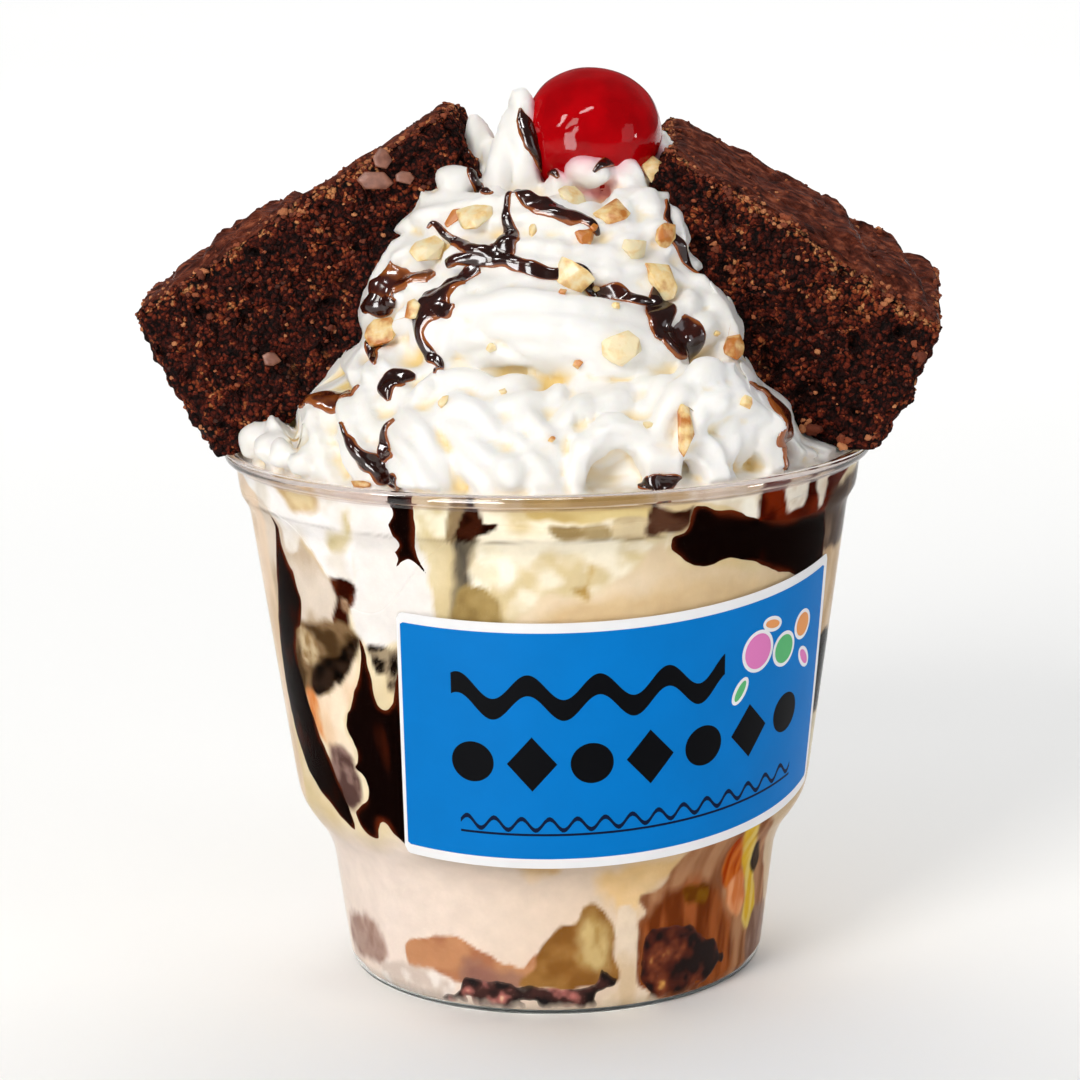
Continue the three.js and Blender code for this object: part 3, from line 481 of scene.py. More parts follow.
def waves(points, size, seed=0, octaves=1):
    """Smooth uneven noise from -1 to 1, its lumps about as wide as size, with finer ones on top."""
    total, weight = 0, 1
    for octave in range(octaves):
        spot = np.asarray(points) / size * 2**octave + 57.3 * octave
        base = np.floor(spot)
        part = spot - base
        part = part * part * (3 - 2 * part)
        value = 0
        for corner in np.ndindex(2, 2, 2):
            share = np.prod(np.where(corner, part, 1 - part), -1)
            value = value + share * lattice(base + corner, seed + octave)
        total = total + weight * (2 * value - 1)
        weight = weight * 0.5
    return total


def between(a, b, c, d, t):
    """A place on the smooth curve through four points, from b at 0 to c at 1."""
    cube = (3 * b - a - 3 * c + d) * t**3
    return 0.5 * (2 * b + (c - a) * t + (2 * a - 5 * b + 4 * c - d) * t**2 + cube)


def round_curve(points, count):
    """A closed curve through the points, as that many points."""
    points = np.array(points, float)
    at = np.arange(count) * len(points) / count
    i = np.floor(at).astype(int)
    t = (at - i)[:, None]
    return between(*(points[(i + k) % len(points)] for k in (-1, 0, 1, 2)), t)


def depth_inside(places, outline, ragged, seed, finest=2.6):
    """How far flat places lie inside a smooth outline, less than nothing outside it."""
    start = round_curve(outline, 12 * len(outline)) * (WALL_MM_PER_DEGREE, 1)
    step = np.roll(start, -1, 0) - start
    offset = places[..., None, :] - start
    along = np.clip((offset * step).sum(-1) / (step**2).sum(-1), 0, 1)
    gap = np.linalg.norm(offset - along[..., None] * step, axis=-1).min(-1)
    across, up = places[..., 0, None], places[..., 1, None]
    crosses = (start[:, 1] > up) != (start[:, 1] + step[:, 1] > up)
    with np.errstate(divide="ignore", invalid="ignore"):
        meets = start[:, 0] + step[:, 0] * (up - start[:, 1]) / step[:, 1]
    within = (crosses & (across < meets)).sum(-1) % 2 == 1
    flat = np.concatenate([places, np.zeros(places.shape[:-1] + (1,))], -1)
    return np.where(within, gap, -gap) + ragged * waves(flat, finest, seed, 3)


def ice_top(azimuth, radius):
    """How high the ice cream stands, with its dip at the left."""
    place = on_round(azimuth, radius, 0)
    dip = on_round(ICE_DIP_PLACE[0], ICE_DIP_PLACE[1], 0)
    away = np.linalg.norm(place - dip, axis=-1) / ICE_DIP_WIDTH
    return ICE_TOP - ICE_DIP * np.exp(-away**2) + 1.4 * waves(place, 9, 3, 2)


share = np.linspace(0, 1, ICE_ROWS)[:, None]
heights = ICE_LOWEST + share * (ice_top(WALL_AZIMUTHS, ICE_EDGE)[None, :] - ICE_LOWEST)
rings = on_round(WALL_AZIMUTHS[None, :], inner_radius(heights) + INTO_WALL, heights)
ice_floor = PUSH_UP + 0.5
floor_rings = [on_round(WALL_AZIMUTHS, r, z) for r, z in
               ((12, ice_floor), (24, ice_floor), (27.5, 1.2), (29, 0.75), (30.7, 0.8))]
top_rings = [on_round(WALL_AZIMUTHS, r, ice_top(WALL_AZIMUTHS, r)) for r in (42, 36, 28, 20, 12, 5)]
rings = np.concatenate([np.array(floor_rings), rings, np.array(top_rings)])
ice_points, ice_faces = skin(rings, (0, 0, ice_floor), (0, 0, ICE_TOP))


def part_way(first, second, share):
    """Rows of colour between two hex colours, by a column of shares of the second."""
    return np.array(linear(first)) * (1 - share) + np.array(linear(second)) * share


def wall_colours(points):
    """The colour of whatever touches the wall at each point, as linear red, green and blue, with painted
    shade in the gaps between scoops and along the steps of the band.
    """
    turn = np.degrees(np.arctan2(points[:, 0], -points[:, 1]))
    from_back = np.degrees(np.arctan2(points[:, 0], points[:, 1]))
    front = np.stack([turn * WALL_MM_PER_DEGREE, points[:, 2]], -1)
    back = np.stack([from_back * WALL_MM_PER_DEGREE, points[:, 2]], -1)
    broad = np.clip(0.5 + 0.8 * waves(points, 12, 13, 3), 0, 1)[:, None]
    to_right = np.clip(0.4 + points[:, :1] / 60, 0, 1)
    low = part_way("#ECDFD6", "#DFC7A8", to_right)
    high = part_way("#D6C39D", "#EADEC4", broad)
    up = np.clip((points[:, 2:] - MELT_LINE + 5 * waves(points, 14, 17, 2)[:, None]) / 5 + 0.5, 0, 1)
    colours = low * (1 - up) + high * up
    patches = [(front, *patch) for patch in AGAINST_WALL] + [(back, *patch) for patch in BEHIND]
    for number, (places, first, second, grain, soft, outline) in enumerate(patches):
        reach = np.array(outline) * (WALL_MM_PER_DEGREE, 1)
        near = ((places > reach.min(0) - soft - 2) & (places < reach.max(0) + soft + 2)).all(1)
        depth = depth_inside(places[near], outline, 0.3 + 0.2 * soft, 100 + number, 2.2)
        stretched = np.concatenate([places[near], np.zeros((near.sum(), 1))], 1) / (*grain, 1)
        mix = np.clip(0.45 + 1.1 * waves(stretched, 1, 300 + number, 3), 0, 1)[:, None]
        share = np.clip(depth / soft + 0.5, 0, 1)[:, None]
        colours[near] = colours[near] * (1 - share) + part_way(first, second, mix) * share
    for height, width in STEP_LINES:
        uneven = np.clip(0.6 + 0.8 * waves(points, 7, 18, 2), 0.1, 1)
        colours *= (1 - 0.5 * uneven * np.exp(-((points[:, 2] - height) / width) ** 2))[:, None]
    return np.concatenate([BEHIND_WALL * colours[:, :3] ** WALL_WARMTH, colours[:, 3:]], 1)


def lay(thing, label, values):
    """A share or a colour for each point of a piece, for its finish to read."""
    kind, field = ("FLOAT", "value") if values.ndim == 1 else ("FLOAT_COLOR", "color")
    layer = thing.data.attributes.new(label, kind, "POINT")
    layer.data.foreach_set(field, values.astype(np.float32).ravel())


# Melting ice cream is a wet emulsion pressed on the plastic: no gloss, and soft within.
vanilla, tree, surface = finish_of(
    "vanilla_ice_cream", Roughness=0.5, IOR=1.35, Specular_IOR_Level=0.0, Subsurface_Weight=0.1,
    Subsurface_Radius=(0.003, 0.002, 0.0012), Subsurface_Scale=0.4)
coords = add(tree, "TexCoord").outputs["Object"]
laid = add(tree, "Attribute", attribute_name="melt").outputs["Color"]
icy = add(tree, "TexNoise", {"Vector": coords, "Scale": 1 / (3.5 * MM), "Detail": 5.0, "Roughness": 0.6})
shade = add(tree, "MapRange", {"Value": icy.outputs["Fac"], "From Min": 0.3, "From Max": 0.7,
                               "To Min": 0.93, "To Max": 1.05})
tint = add(tree, "Mix", {0: 1.0, 6: laid, 7: shade.outputs["Result"]},
           data_type="RGBA", blend_type="MULTIPLY")
tree.links.new(tint.outputs[2], surface.inputs["Base Color"])
relief = add(tree, "Bump", {"Height": icy.outputs["Fac"], "Strength": 0.35, "Distance": 0.5 * MM})
tree.links.new(relief.outputs["Normal"], surface.inputs["Normal"])
ice = piece("ice_cream", ice_points, ice_faces, vanilla, "ice_cream", "ice_cream")
lay(ice, "melt", wall_colours(ice_points))


# ---- Fudge and brownie at the wall ---------------------------------------------------
# Hot fudge poured over the ice cream, thick and nearly black where it meets the wall, with
# runs down the inside, and lumps of brownie pressed against the foot.

# How far the wet pieces are pressed into the wall, so that no air shows between.
SAUCE_PRESS, LUMP_PRESS = 0.3, 0.22
WALL_TOP = 80.4
# Outlines of the sauce and the lumps on the wall, as azimuths and heights.
SAUCE_LEFT = [
    (-62.3, 76), (-60.3, 73), (-60.2, 70), (-59, 68), (-57.2, 66.5), (-56.6, 64), (-55.8, 61.5),
    (-57.5, 58), (-60.5, 56), (-62, 53), (-61.6, 50), (-60, 46), (-57.5, 41.5), (-53.5, 36.5),
    (-50.5, 31.5), (-48.8, 28.5), (-50, 26.3), (-54, 27.3), (-59, 29.5), (-68, 33), (-74, 39.5),
    (-75.5, 46), (-74.2, 52), (-72, 57), (-69, 62), (-66.3, 68), (-64.2, 72.5),
]
SAUCE_FRONT = [
    (-40.6, 60), (-38.4, 57.5), (-37.6, 54.5), (-37.2, 51), (-36, 48.8), (-34, 50.5), (-31, 56.5),
    (-30, 48), (-30.5, 35), (-32, 29), (-34, 25.8), (-37.5, 27.5), (-40, 29), (-42.5, 26), (-47, 26.5),
    (-50, 30), (-48, 32), (-44.5, 33.5), (-44.5, 35.5), (-48, 37.5), (-46, 39.5), (-48.5, 44),
    (-45, 49), (-41.8, 54),
]
SAUCE_DRIP = [
    (-28.9, 81.5), (-23.2, 81.5), (-22.8, 77.5), (-22.6, 75), (-23.6, 72.5), (-22, 69.2), (-23.5, 68.4),
    (-26, 70), (-27, 70.2), (-29, 69.2), (-31, 68.4), (-31.2, 69.6), (-29.8, 70.7), (-30.3, 72.2),
    (-29.2, 73.6), (-29.7, 75), (-30.2, 76.4), (-29.2, 78),
]
FUDGE_POOL = [
    (25.5, 79.2), (29.5, 78.6), (34, 78), (39, 76), (46.5, 75), (61, 74.6), (63.5, 74), (66, 70),
    (66.5, 65), (60, 62.5), (52, 64.3), (48.5, 65.3), (43.5, 66.8), (39, 68.3), (34.5, 68.8),
    (31, 68.3), (28, 68.3), (25.2, 69.4), (22.2, 71.4), (21.3, 73), (20.8, 75), (23.3, 75.7),
    (24.3, 77.6),
]
LUMP_FRONT = [
    (-26, 6), (-14, 6), (-9, 5.4), (3.5, 5.4), (9.5, 6.2), (12, 7.8), (16.6, 6), (16.2, 3.4),
    (11.6, 2.4), (10.5, 1.1), (3.5, 1), (-9.5, 1), (-21.5, 1), (-35, 1.1), (-28.8, 3.6),
]
LUMP_SIDE = [
    (23.5, 12.3), (29, 14), (37, 12.8), (43, 10), (49, 8.4), (52.5, 4.4), (46, 1.7), (39, 1.1),
    (29, 1.1), (23.6, 3), (21.8, 6), (21.8, 9),
]


def wall_patch(outline, depth, press, ragged, seed, cell):
    """A skin of sauce or crumb against the wall: pressed flat outside, rounded at its edge."""
    curve = round_curve(outline, 240) * (WALL_MM_PER_DEGREE, 1)
    low, high = curve.min(0) - 1.5, curve.max(0) + 1.5
    steps = [np.arange(a, b, cell) for a, b in zip(low, high)]
    grid = np.stack(np.meshgrid(*steps, indexing="ij"), -1)
    depth_in = depth_inside(grid, outline, ragged, seed)
    azimuth, height = grid[..., 0] / WALL_MM_PER_DEGREE, np.clip(grid[..., 1], 1.0, WALL_TOP)
    swell = np.sqrt(np.clip(depth_in / 1.2, 0, 1))
    outer = on_round(azimuth, inner_radius(height) - 0.8 + swell * (0.8 + press), height)
    inner = on_round(azimuth, inner_radius(height) - 0.9 - depth * swell, height)
    keep = depth_in > -0.2
    cells = keep[:-1, :-1] & keep[1:, :-1] & keep[:-1, 1:] & keep[1:, 1:]
    count = grid.shape[0] * grid.shape[1]
    number = np.arange(count).reshape(grid.shape[:2])
    corners = [number[:-1, :-1], number[1:, :-1], number[1:, 1:], number[:-1, 1:]]
    quads = np.stack([c[cells] for c in corners], -1)
    edges = {}
    for quad in quads.tolist():
        for a, b in zip(quad, quad[1:] + quad[:1]):
            if (b, a) in edges:
                del edges[(b, a)]
            else:
                edges[(a, b)] = True
    faces = [tuple(q) for q in quads.tolist()]
    faces += [tuple(x + count for x in reversed(q)) for q in quads.tolist()]
    faces += [(b, a, a + count, b + count) for a, b in edges]
    points = np.concatenate([outer.reshape(-1, 3), inner.reshape(-1, 3)])
    used = np.unique(np.array([i for face in faces for i in face]))
    renumber = {int(old): new for new, old in enumerate(used)}
    depths = np.tile(depth_in.ravel(), 2)[used]
    return points[used], [tuple(renumber[i] for i in face) for face in faces], depths


# Fudge that wets the plastic has no gloss of its own: it is nearly black, and red at a thin
# edge.
wall_fudge, tree, surface = finish_of(
    "fudge_on_plastic", Roughness=0.5, IOR=1.4, Specular_IOR_Level=0.0)
laid = add(tree, "Attribute", attribute_name="fudge_tone").outputs["Color"]
tree.links.new(laid, surface.inputs["Base Color"])
for number, (name, outline, depth, cell) in enumerate((
        ("fudge_pool", FUDGE_POOL, 6, 0.4), ("sauce_left", SAUCE_LEFT, 1.6, 0.3),
        ("sauce_front", SAUCE_FRONT, 1.6, 0.3), ("sauce_drip", SAUCE_DRIP, 1.6, 0.25))):
    points, faces, depths = wall_patch(outline, depth, SAUCE_PRESS, 0.3, 21 + number, cell)
    run = piece(name, points, faces, wall_fudge, "fudge", name)
    thin = np.clip(1.2 - depths / (1.5 + 0.8 * waves(points, 5, 27 + number, 2)), 0, 1) ** 1.8
    streaks = np.clip(waves(points / (1, 1, 3), 2.5, 40 + number, 2) - 0.45, 0, 1)
    thin = np.clip(thin + 0.25 * streaks, 0, 1)[:, None]
    lay(run, "fudge_tone", part_way("#0A0302", "#6E2A12", thin))

# Soaked brownie is darker and redder than dry crumb, with pale flecks of sugar and cream.
wet_brownie, tree, surface = finish_of(
    "soaked_brownie", Roughness=0.45, IOR=1.4, Specular_IOR_Level=0.12)
laid = add(tree, "Attribute", attribute_name="lump_tone").outputs["Color"]
tree.links.new(laid, surface.inputs["Base Color"])
for number, (name, outline, depth, tones) in enumerate((
        ("brownie_lump_front", LUMP_FRONT, 4, ("#120A09", "#3B201C", "#A4625A", "#E8C9A0")),
        ("brownie_lump_side", LUMP_SIDE, 6, ("#160806", "#4C1B0C", "#753A20", "#C08A44")))):
    points, faces, depths = wall_patch(outline, depth, LUMP_PRESS, 0.7, 31 + number, 0.25)
    lump = piece(name, points, faces, wet_brownie, "brownie", name)
    level = waves(points, 2.6, 35 + number, 3) + 0.2 * waves(points, 8, 37, 2)
    ramp = np.array([linear(tone) for tone in tones])
    colours = np.stack([np.interp(level, (-0.2, 0.35, 0.85, 1.15), ramp[:, i]) for i in range(4)], -1)
    rim = np.clip(depths / 1.4, 0, 1)[:, None] ** 0.7
    lay(lump, "lump_tone", wall_colours(points) * (1 - rim) + colours * rim)


# ---- Whipped cream -------------------------------------------------------------------
# Cream from a star nozzle, piped in one long rope that winds up the heap and folds over
# itself at the rim, with tips pulled up at the top. It is stiff, so its folds stay crisp.

HEAP_SLOPE = 0.64
HEAP_SHOULDER = (23, 118)
HEAP_LEAN = math.atan(HEAP_SLOPE)
BALL_RADIUS = HEAP_SHOULDER[0] / math.cos(HEAP_LEAN)
BALL_HEIGHT = HEAP_SHOULDER[1] - BALL_RADIUS * math.sin(HEAP_LEAN)
TEETH = 8
ROPE_FIRST, ROPE_LAST = 8.6, 5.4
ROPE_START, ROPE_END = -2.05, 1.9
ROPE_BOTTOM, ROPE_RISE = 88, 12.5
ROPE_WIDE, ROPE_NARROW = 35, 22
ROPE_SUNK = 0.92
LOBE_LENGTH, LOBE_SWELL = 15, 0.09
FRILL_LENGTH = 4.2
CREAM_VOXEL = 0.65
SHARPEN = 0.8

# Folds of the rope round the rim: azimuth, height, radius out, width and rope radius.
RUFFLES = [
    (32, 89, 42, 15, 5.6), (48, 87, 42.5, 12, 5.2), (61, 84, 43, 9, 4.6), (90, 84.5, 42, 13, 5.2),
    (111, 86.5, 42, 13, 5.4), (133, 85.5, 42.5, 14, 5.4), (155, 87, 42, 14, 5.4),
    (177, 86, 42.5, 14, 5.4), (199, 87, 42, 14, 5.4), (221, 86, 42.5, 14, 5.4),
    (243, 86.5, 42, 13, 5.2), (265, 85, 42.5, 13, 5.2),
]
# The arch of a ruffle: share of its width, then how far out and how far up.
ARCH = [(-1, -3.5, -4.5), (-0.8, -0.5, 1), (0, 0, 3.8), (0.8, -0.5, 0.5), (1, -4, -5)]
# Strokes of the nozzle over the front: route as azimuth, height and lift off the heap, then
# the radius, the number of teeth, their depth, and how far the edge frills.
STROKES = [
    ([(-33, 98, -5), (-27, 103.5, -4), (-15, 105, -4), (-1, 104, -3.6), (12, 102, -3.6), (25, 99.5, -4),
      (36, 96, -5)], 7.4, 9, 0.10, 0.02),
    ([(-22, 93.5, -5), (-17, 91.5, -4), (-12, 87, -3.4), (-9, 82, -4)], 6.6, 8, 0.16, 0.02),
    ([(-10, 93.5, -5), (-6, 91, -3.6), (-3, 86.5, -3.2), (1, 81.5, -4)], 6.0, 8, 0.18, 0.02),
    ([(3, 92.5, -6), (10, 93, -4), (20, 92.3, -3), (31, 92.6, -2.6), (39, 91.8, -2.8), (44, 88.5, -4)],
     4.6, 6, 0.22, 0.10),
    ([(4.6, 81.5, -2), (6, 86.3, 0), (12, 88.8, 1.4), (18, 86.9, 0.6), (19.5, 82, -1)], 2.3, 5, 0.25, 0.05),
    ([(21, 81.5, -2), (22.5, 86, 0), (27, 87.2, 0.4), (31, 84, 0), (31, 81, -1)], 3.0, 5, 0.3, 0.10),
    ([(33, 81.5, -2), (34, 86, 0), (39, 88.2, 0.4), (44, 85.5, 0), (45, 81.5, -1)], 3.0, 5, 0.3, 0.10),
    ([(-36, 108, -4), (-26, 111.5, -3), (-10, 112.5, -3), (8, 111, -3), (24, 109.5, -3), (40, 108.5, -3.5),
      (48, 104, -4)], 5.2, 8, 0.18, 0.10),
    ([(40, 110, -3), (46, 106.4, -1.6), (49, 103.2, -1.4), (49.5, 99, -1.6), (48, 94, -3)],
     3.2, 6, 0.3, 0.2),
    ([(-55, 104, -5), (-53, 110, -2.4), (-44, 112.2, -2.2), (-34, 110, -3.5)], 3.8, 6, 0.22, 0.12),
    ([(-47, 101, -4), (-50, 97.5, -1.8), (-49, 94.6, -1.6), (-45, 91, -3)], 3.2, 6, 0.3, 0.22),
    ([(-40, 100, -4), (-41, 96.6, -1.6), (-37, 94, -1.6), (-33, 90.5, -3)], 3.4, 6, 0.3, 0.25),
    ([(-44, 93, -3.5), (-41, 91, -1), (-37, 86.5, -0.6), (-33, 82, -2)], 4.2, 6, 0.28, 0.12),
    ([(-32, 92, -4), (-28, 89, -1.8), (-24, 85, -1.2), (-21, 81, -2.4)], 5.0, 7, 0.24, 0.06),
    ([(-60, 83, -4), (-56.5, 88, -1), (-52, 89, -0.4), (-48, 86, -0.8), (-44, 81.5, -2)],
     3.4, 5, 0.34, 0.12),
    ([(26, 118, -3), (38, 118.4, -2), (50, 116.5, -2.4), (54, 112, -4)], 4.0, 7, 0.24, 0.16),
    ([(-40, 117, -4), (-20, 118, -2.6), (2, 117, -2.2), (22, 115.4, -2.6)], 4.4, 7, 0.22, 0.10),
]
# Small round lobes at the ends of strokes: azimuth, height, lift and radius.
LOBES = [
    (-77, 83.6, 0.8, 2.5), (-69, 83.8, 1, 2.7), (-62, 83.8, 0.8, 2.6), (-55, 83.6, 1, 2.5),
    (-48.5, 83.2, 1, 2.3), (-73, 86.4, 0.2, 2.3), (-65, 86.8, 0.2, 2.3), (-1, 88.3, 0.2, 2.6),
    (-7, 84, 0.8, 2.4), (24, 124, -1.2, 2.7), (40, 123.6, -1.4, 2.6), (57, 121.4, -0.8, 2.4),
    (-44, 122.2, -1.2, 2.6), (-52, 118.6, -0.8, 2.4), (41, 117.6, -1, 3.4), (47, 112.4, -0.6, 2.4),
    (-49, 107, -0.4, 2.4),
]
# Pulled-up tips: foot, tip and the radius at the foot.
TIPS = [
    (-6.6, -9.5, 112, -3, -10.5, 134.4, 7.4), (-9, -5, 114, -10, -6, 130.4, 5),
    (1, -14, 112, 1.5, -14.5, 123, 5.2), (11, -14.5, 111, 12.5, -13.5, 124.5, 5.4),
    (15, -7, 112, 18, -8.5, 123, 4.8), (-12, -13, 109, -14.5, -14, 122, 5), (4, 9, 113, 5, 9, 125, 7),
    (-4, 12, 110, -6, 15, 118, 6), (9, 14, 106, 8, 17, 114, 6.5), (-2, 22, 100, -2, 25, 107, 7),
    (21, -19, 99, 26, -20.5, 107, 5), (-37.5, -21.5, 80, -40.2, -14.2, 87.4, 4.2),
    (-31, -30, 80, -33.5, -27, 90.6, 4.4),
]
# A plain core under the ropes, as radius and height, from the rim up; above it, heights only.
CORE_FOOT = [(46.4, 80.5), (44, 81.5)]
CORE_HEIGHTS = (84, 92, 100, 109, 117, 121)
CORE_UNDER = 6.5
SUNK_LOWEST, SUNK_RADIUS = 58, 30
# Hollows under folds: azimuth, height, radius and depth.
HOLLOWS = [
    (2.2, 96.2, 3.4, 3.6), (-5, 87.2, 2.4, 2.4), (12, 84.8, 3.2, 2.6), (20.3, 83, 1.6, 3.6),
    (31, 89.6, 2.8, 2.6), (32.2, 83.6, 1.8, 3.2), (-33, 99.5, 2.4, 2.4), (-45, 104.5, 3, 2.6),
    (-28, 93.8, 2.4, 2.4), (40, 98.4, 3, 2.4), (-12, 114.9, 2.4, 2), (14, 107.4, 2.6, 2),
]
# How far the front of the heap reaches to either side before it meets a slab, by height, and
# how high the lobes at its left corner stand, by place across.
HEAP_HEIGHTS = (80, 82.3, 84.5, 89, 91, 93, 96, 98.8, 101, 103, 106, 109.5, 112, 115, 118, 123.5, 130)
LEFT_REACH = (47, 47, 47, 47, 35, 28.4, 28.8, 26.6, 26.9, 26.8, 25.6, 24.6, 24, 20, 17.4, 15, 13)
RIGHT_REACH = (44, 38, 36, 33.8, 31, 29, 27.6, 27.6, 27.4, 26, 23.6, 21.8, 20.6, 19.6, 19.2, 18.6, 18)
CORNER_PLACES = (-48, -45.5, -44.1, -41, -39.9, -38, -37, -36, -35.3, -34.4, -33)
CORNER_HEIGHTS = (82.5, 83.8, 85.8, 87.8, 88.6, 86, 84.6, 84.6, 88, 92, 140)
# Cream past these limits is pressed back to this share of how far it would stand out.
SQUASH = 0.15
SQUASH_SOFTLY = 2.2
CHERRY_PLACE = (6.9, -6, 127.4)
CHERRY_RADIUS = 10.8
MOUTH = RIM_MIDDLE[0] - 1.6
CREAM_SKIN = 1.5


def heap_radius(height):
    """The radius of the heap's plain form: a cone with a ball on top."""
    ball = np.sqrt(np.maximum(BALL_RADIUS**2 - (height - BALL_HEIGHT) ** 2, 0))
    cone = HEAP_SHOULDER[0] + HEAP_SLOPE * (HEAP_SHOULDER[1] - height)
    return np.where(height <= HEAP_SHOULDER[1], cone, ball)


def way_out(azimuth, height):
    """The direction straight out of the heap's plain form."""
    height = np.asarray(height, float)
    on_ball = np.arcsin(np.clip((height - BALL_HEIGHT) / BALL_RADIUS, -1, 1))
    lean = np.where(height <= HEAP_SHOULDER[1], HEAP_LEAN, on_ball)
    return on_round(azimuth, np.cos(lean), np.sin(lean))


def on_heap(azimuth, height, lift):
    """Points on the heap's plain form, or that far off it."""
    foot = on_round(azimuth, heap_radius(height), height)
    return foot + way_out(azimuth, height) * np.asarray(lift)[..., None]


def unit(vectors):
    """Each row at a length of one."""
    return vectors / np.linalg.norm(vectors, axis=-1, keepdims=True)


def open_curve(points, count):
    """A smooth curve through the points from first to last, as that many points."""
    points = np.array(points, float)
    points = np.concatenate([[2 * points[0] - points[1]], points, [2 * points[-1] - points[-2]]])
    at = np.linspace(0, len(points) - 3 - 1e-9, count)
    i = at.astype(int)
    t = (at - i)[:, None]
    return between(*(points[i + k] for k in range(4)), t)


def rope(path, radii, turns, reference, seed, teeth, depth, frill):
    """A piped rope: round lobes with sharp creases between, whose edges ripple as it is laid."""
    along = unit(np.gradient(path, axis=0))
    out = unit(np.cross(along, reference))
    lift = np.cross(out, along)
    length = np.concatenate([[0], np.cumsum(np.linalg.norm(np.diff(path, axis=0), axis=1))])
    angle = np.arange(12 * teeth) / (12 * teeth) * 2 * np.pi
    ridge = np.abs(np.sin(teeth * angle / 2))[None, :] ** 0.75
    phase = np.pi * lattice(np.array([[seed, 1, 1]]), 5) + 2.2 * np.sin(length[:, None] / 9 + seed)
    skew = 0.35 * np.sin(angle)[None, :] * teeth / 4
    beat = np.abs(np.sin(np.pi * length[:, None] / FRILL_LENGTH + skew + phase))
    radius = radii[:, None] * (1 - depth + depth * ridge + frill * ridge * (beat**0.7 - 0.5))
    spun = angle[None, :] + 2 * np.pi * turns * np.linspace(0, 1, len(path))[:, None]
    rings = (path[:, None, :] + radius[..., None] * (
        np.cos(spun)[..., None] * out[:, None, :] + np.sin(spun)[..., None] * lift[:, None, :]))
    return skin(rings, path[0], path[-1])


def joined(bodies):
    """Many closed skins as one set of points and faces."""
    points, faces, count = [], [], 0
    for body_points, body_faces in bodies:
        points.append(body_points)
        faces += [tuple(i + count for i in face) for face in body_faces]
        count += len(body_points)
    return np.concatenate(points), faces


# The long rope: it starts inside the rim and winds up to the top.
bodies = []
share = np.linspace(0, 1, 900)
turn = ROPE_START + share * (ROPE_END - ROPE_START)
climbed = np.maximum(0, turn + 1) / (ROPE_END + 1)
length = 2 * np.pi * (turn - ROPE_START) * (ROPE_WIDE + climbed * (ROPE_NARROW - ROPE_WIDE))
swell = 1 + LOBE_SWELL * np.sin(2 * np.pi * length / LOBE_LENGTH)
ends = np.minimum(1, 0.3 + 22 * np.minimum(share, 1 - share))
radii = (ROPE_FIRST + climbed * (ROPE_LAST - ROPE_FIRST)) * swell * ends
height = ROPE_BOTTOM + ROPE_RISE * np.maximum(0, turn + 1)
path = on_round(-360 * turn, np.maximum(heap_radius(height) - ROPE_SUNK * radii, 1.5), height)
path = path + 0.8 * np.stack([waves(path, 13, s) for s in (41, 42, 43)], -1)
bodies.append(rope(path, radii, 9, (0, 0, 1), 1, TEETH, 0.2, 0.12))

for number, (azimuth, height, radius, width, thick) in enumerate(RUFFLES):
    half = math.degrees(width / 2 / radius)
    arch = [on_round(azimuth + a * half, radius + r, height + h) for a, r, h in ARCH]
    path = open_curve(arch, 60)
    radii = thick * (0.62 + 0.38 * np.sin(np.pi * np.linspace(0, 1, 60)))
    bodies.append(rope(path, radii, 0.3, on_round(azimuth, 1, 0), number + 10, 5, 0.3, 0.16))

for number, (knots, thick, teeth, depth, frill) in enumerate(STROKES):
    azimuth, height, lift = np.array(open_curve(knots, 30 + 14 * len(knots))).T
    path = on_heap(azimuth, height, lift)
    share = np.linspace(0, 1, len(path))
    radii = thick * (0.25 + 0.75 * np.sin(np.pi * (0.06 + 0.88 * share)) ** 0.5)
    outward = way_out(azimuth, height).mean(0)
    bodies.append(rope(path, radii, 0.25, outward, number + 60, teeth, depth, frill))

for number, (azimuth, height, lift, radius) in enumerate(LOBES):
    middle = on_heap(azimuth, height, np.array(lift - 0.4))
    rows = np.linspace(0, np.pi, 18)[1:-1]
    ball = np.array([on_round(np.arange(30) * 12.0, math.sin(a), -math.cos(a)) for a in rows])
    ball = ball * (1 + 0.12 * waves(ball, 0.9, 90 + number))[..., None]
    ball = ball * (1.15, 1.0, 0.9 + 0.25 * lattice(np.array([number, 3, 3]), 8))
    pole = np.array((0, 0, radius * 0.9))
    bodies.append(skin(middle + radius * ball, middle - pole, middle + pole))

for number, (x0, y0, z0, x1, y1, z1, thick) in enumerate(TIPS):
    foot, peak = np.array([x0, y0, z0]), np.array([x1, y1, z1])
    bend = foot + 0.6 * (peak - foot) + (0.8, 0, 0)
    path = open_curve([foot, bend, peak], 50)
    radii = thick * (0.06 + 0.94 * np.linspace(1, 0, 50) ** 0.75)
    bodies.append(rope(path, radii, 0.3, (1, 0, 0), number + 40, 5, 0.22, 0.03))

# The plain core, and the cream that has gone down inside the wall as far as the dip.
core = CORE_FOOT + [(float(heap_radius(z)) - CORE_UNDER, z) for z in CORE_HEIGHTS]
azimuths = np.arange(240) * 1.5
core_rings = [on_round(azimuths, r, z) for r, z in core]
sunk = []
for height in np.arange(SUNK_LOWEST, 78.1, 0.8):
    outside = inner_radius(height) - 0.7
    drop = np.clip((height - ice_top(azimuths, 43.0) + 1) / 1.5, 0, 1)
    sunk.append(on_round(azimuths, SUNK_RADIUS + drop * (outside - SUNK_RADIUS), height))
bodies.append(skin(np.array(sunk + core_rings), (0, 0, SUNK_LOWEST), (0, 0, CORE_HEIGHTS[-1])))

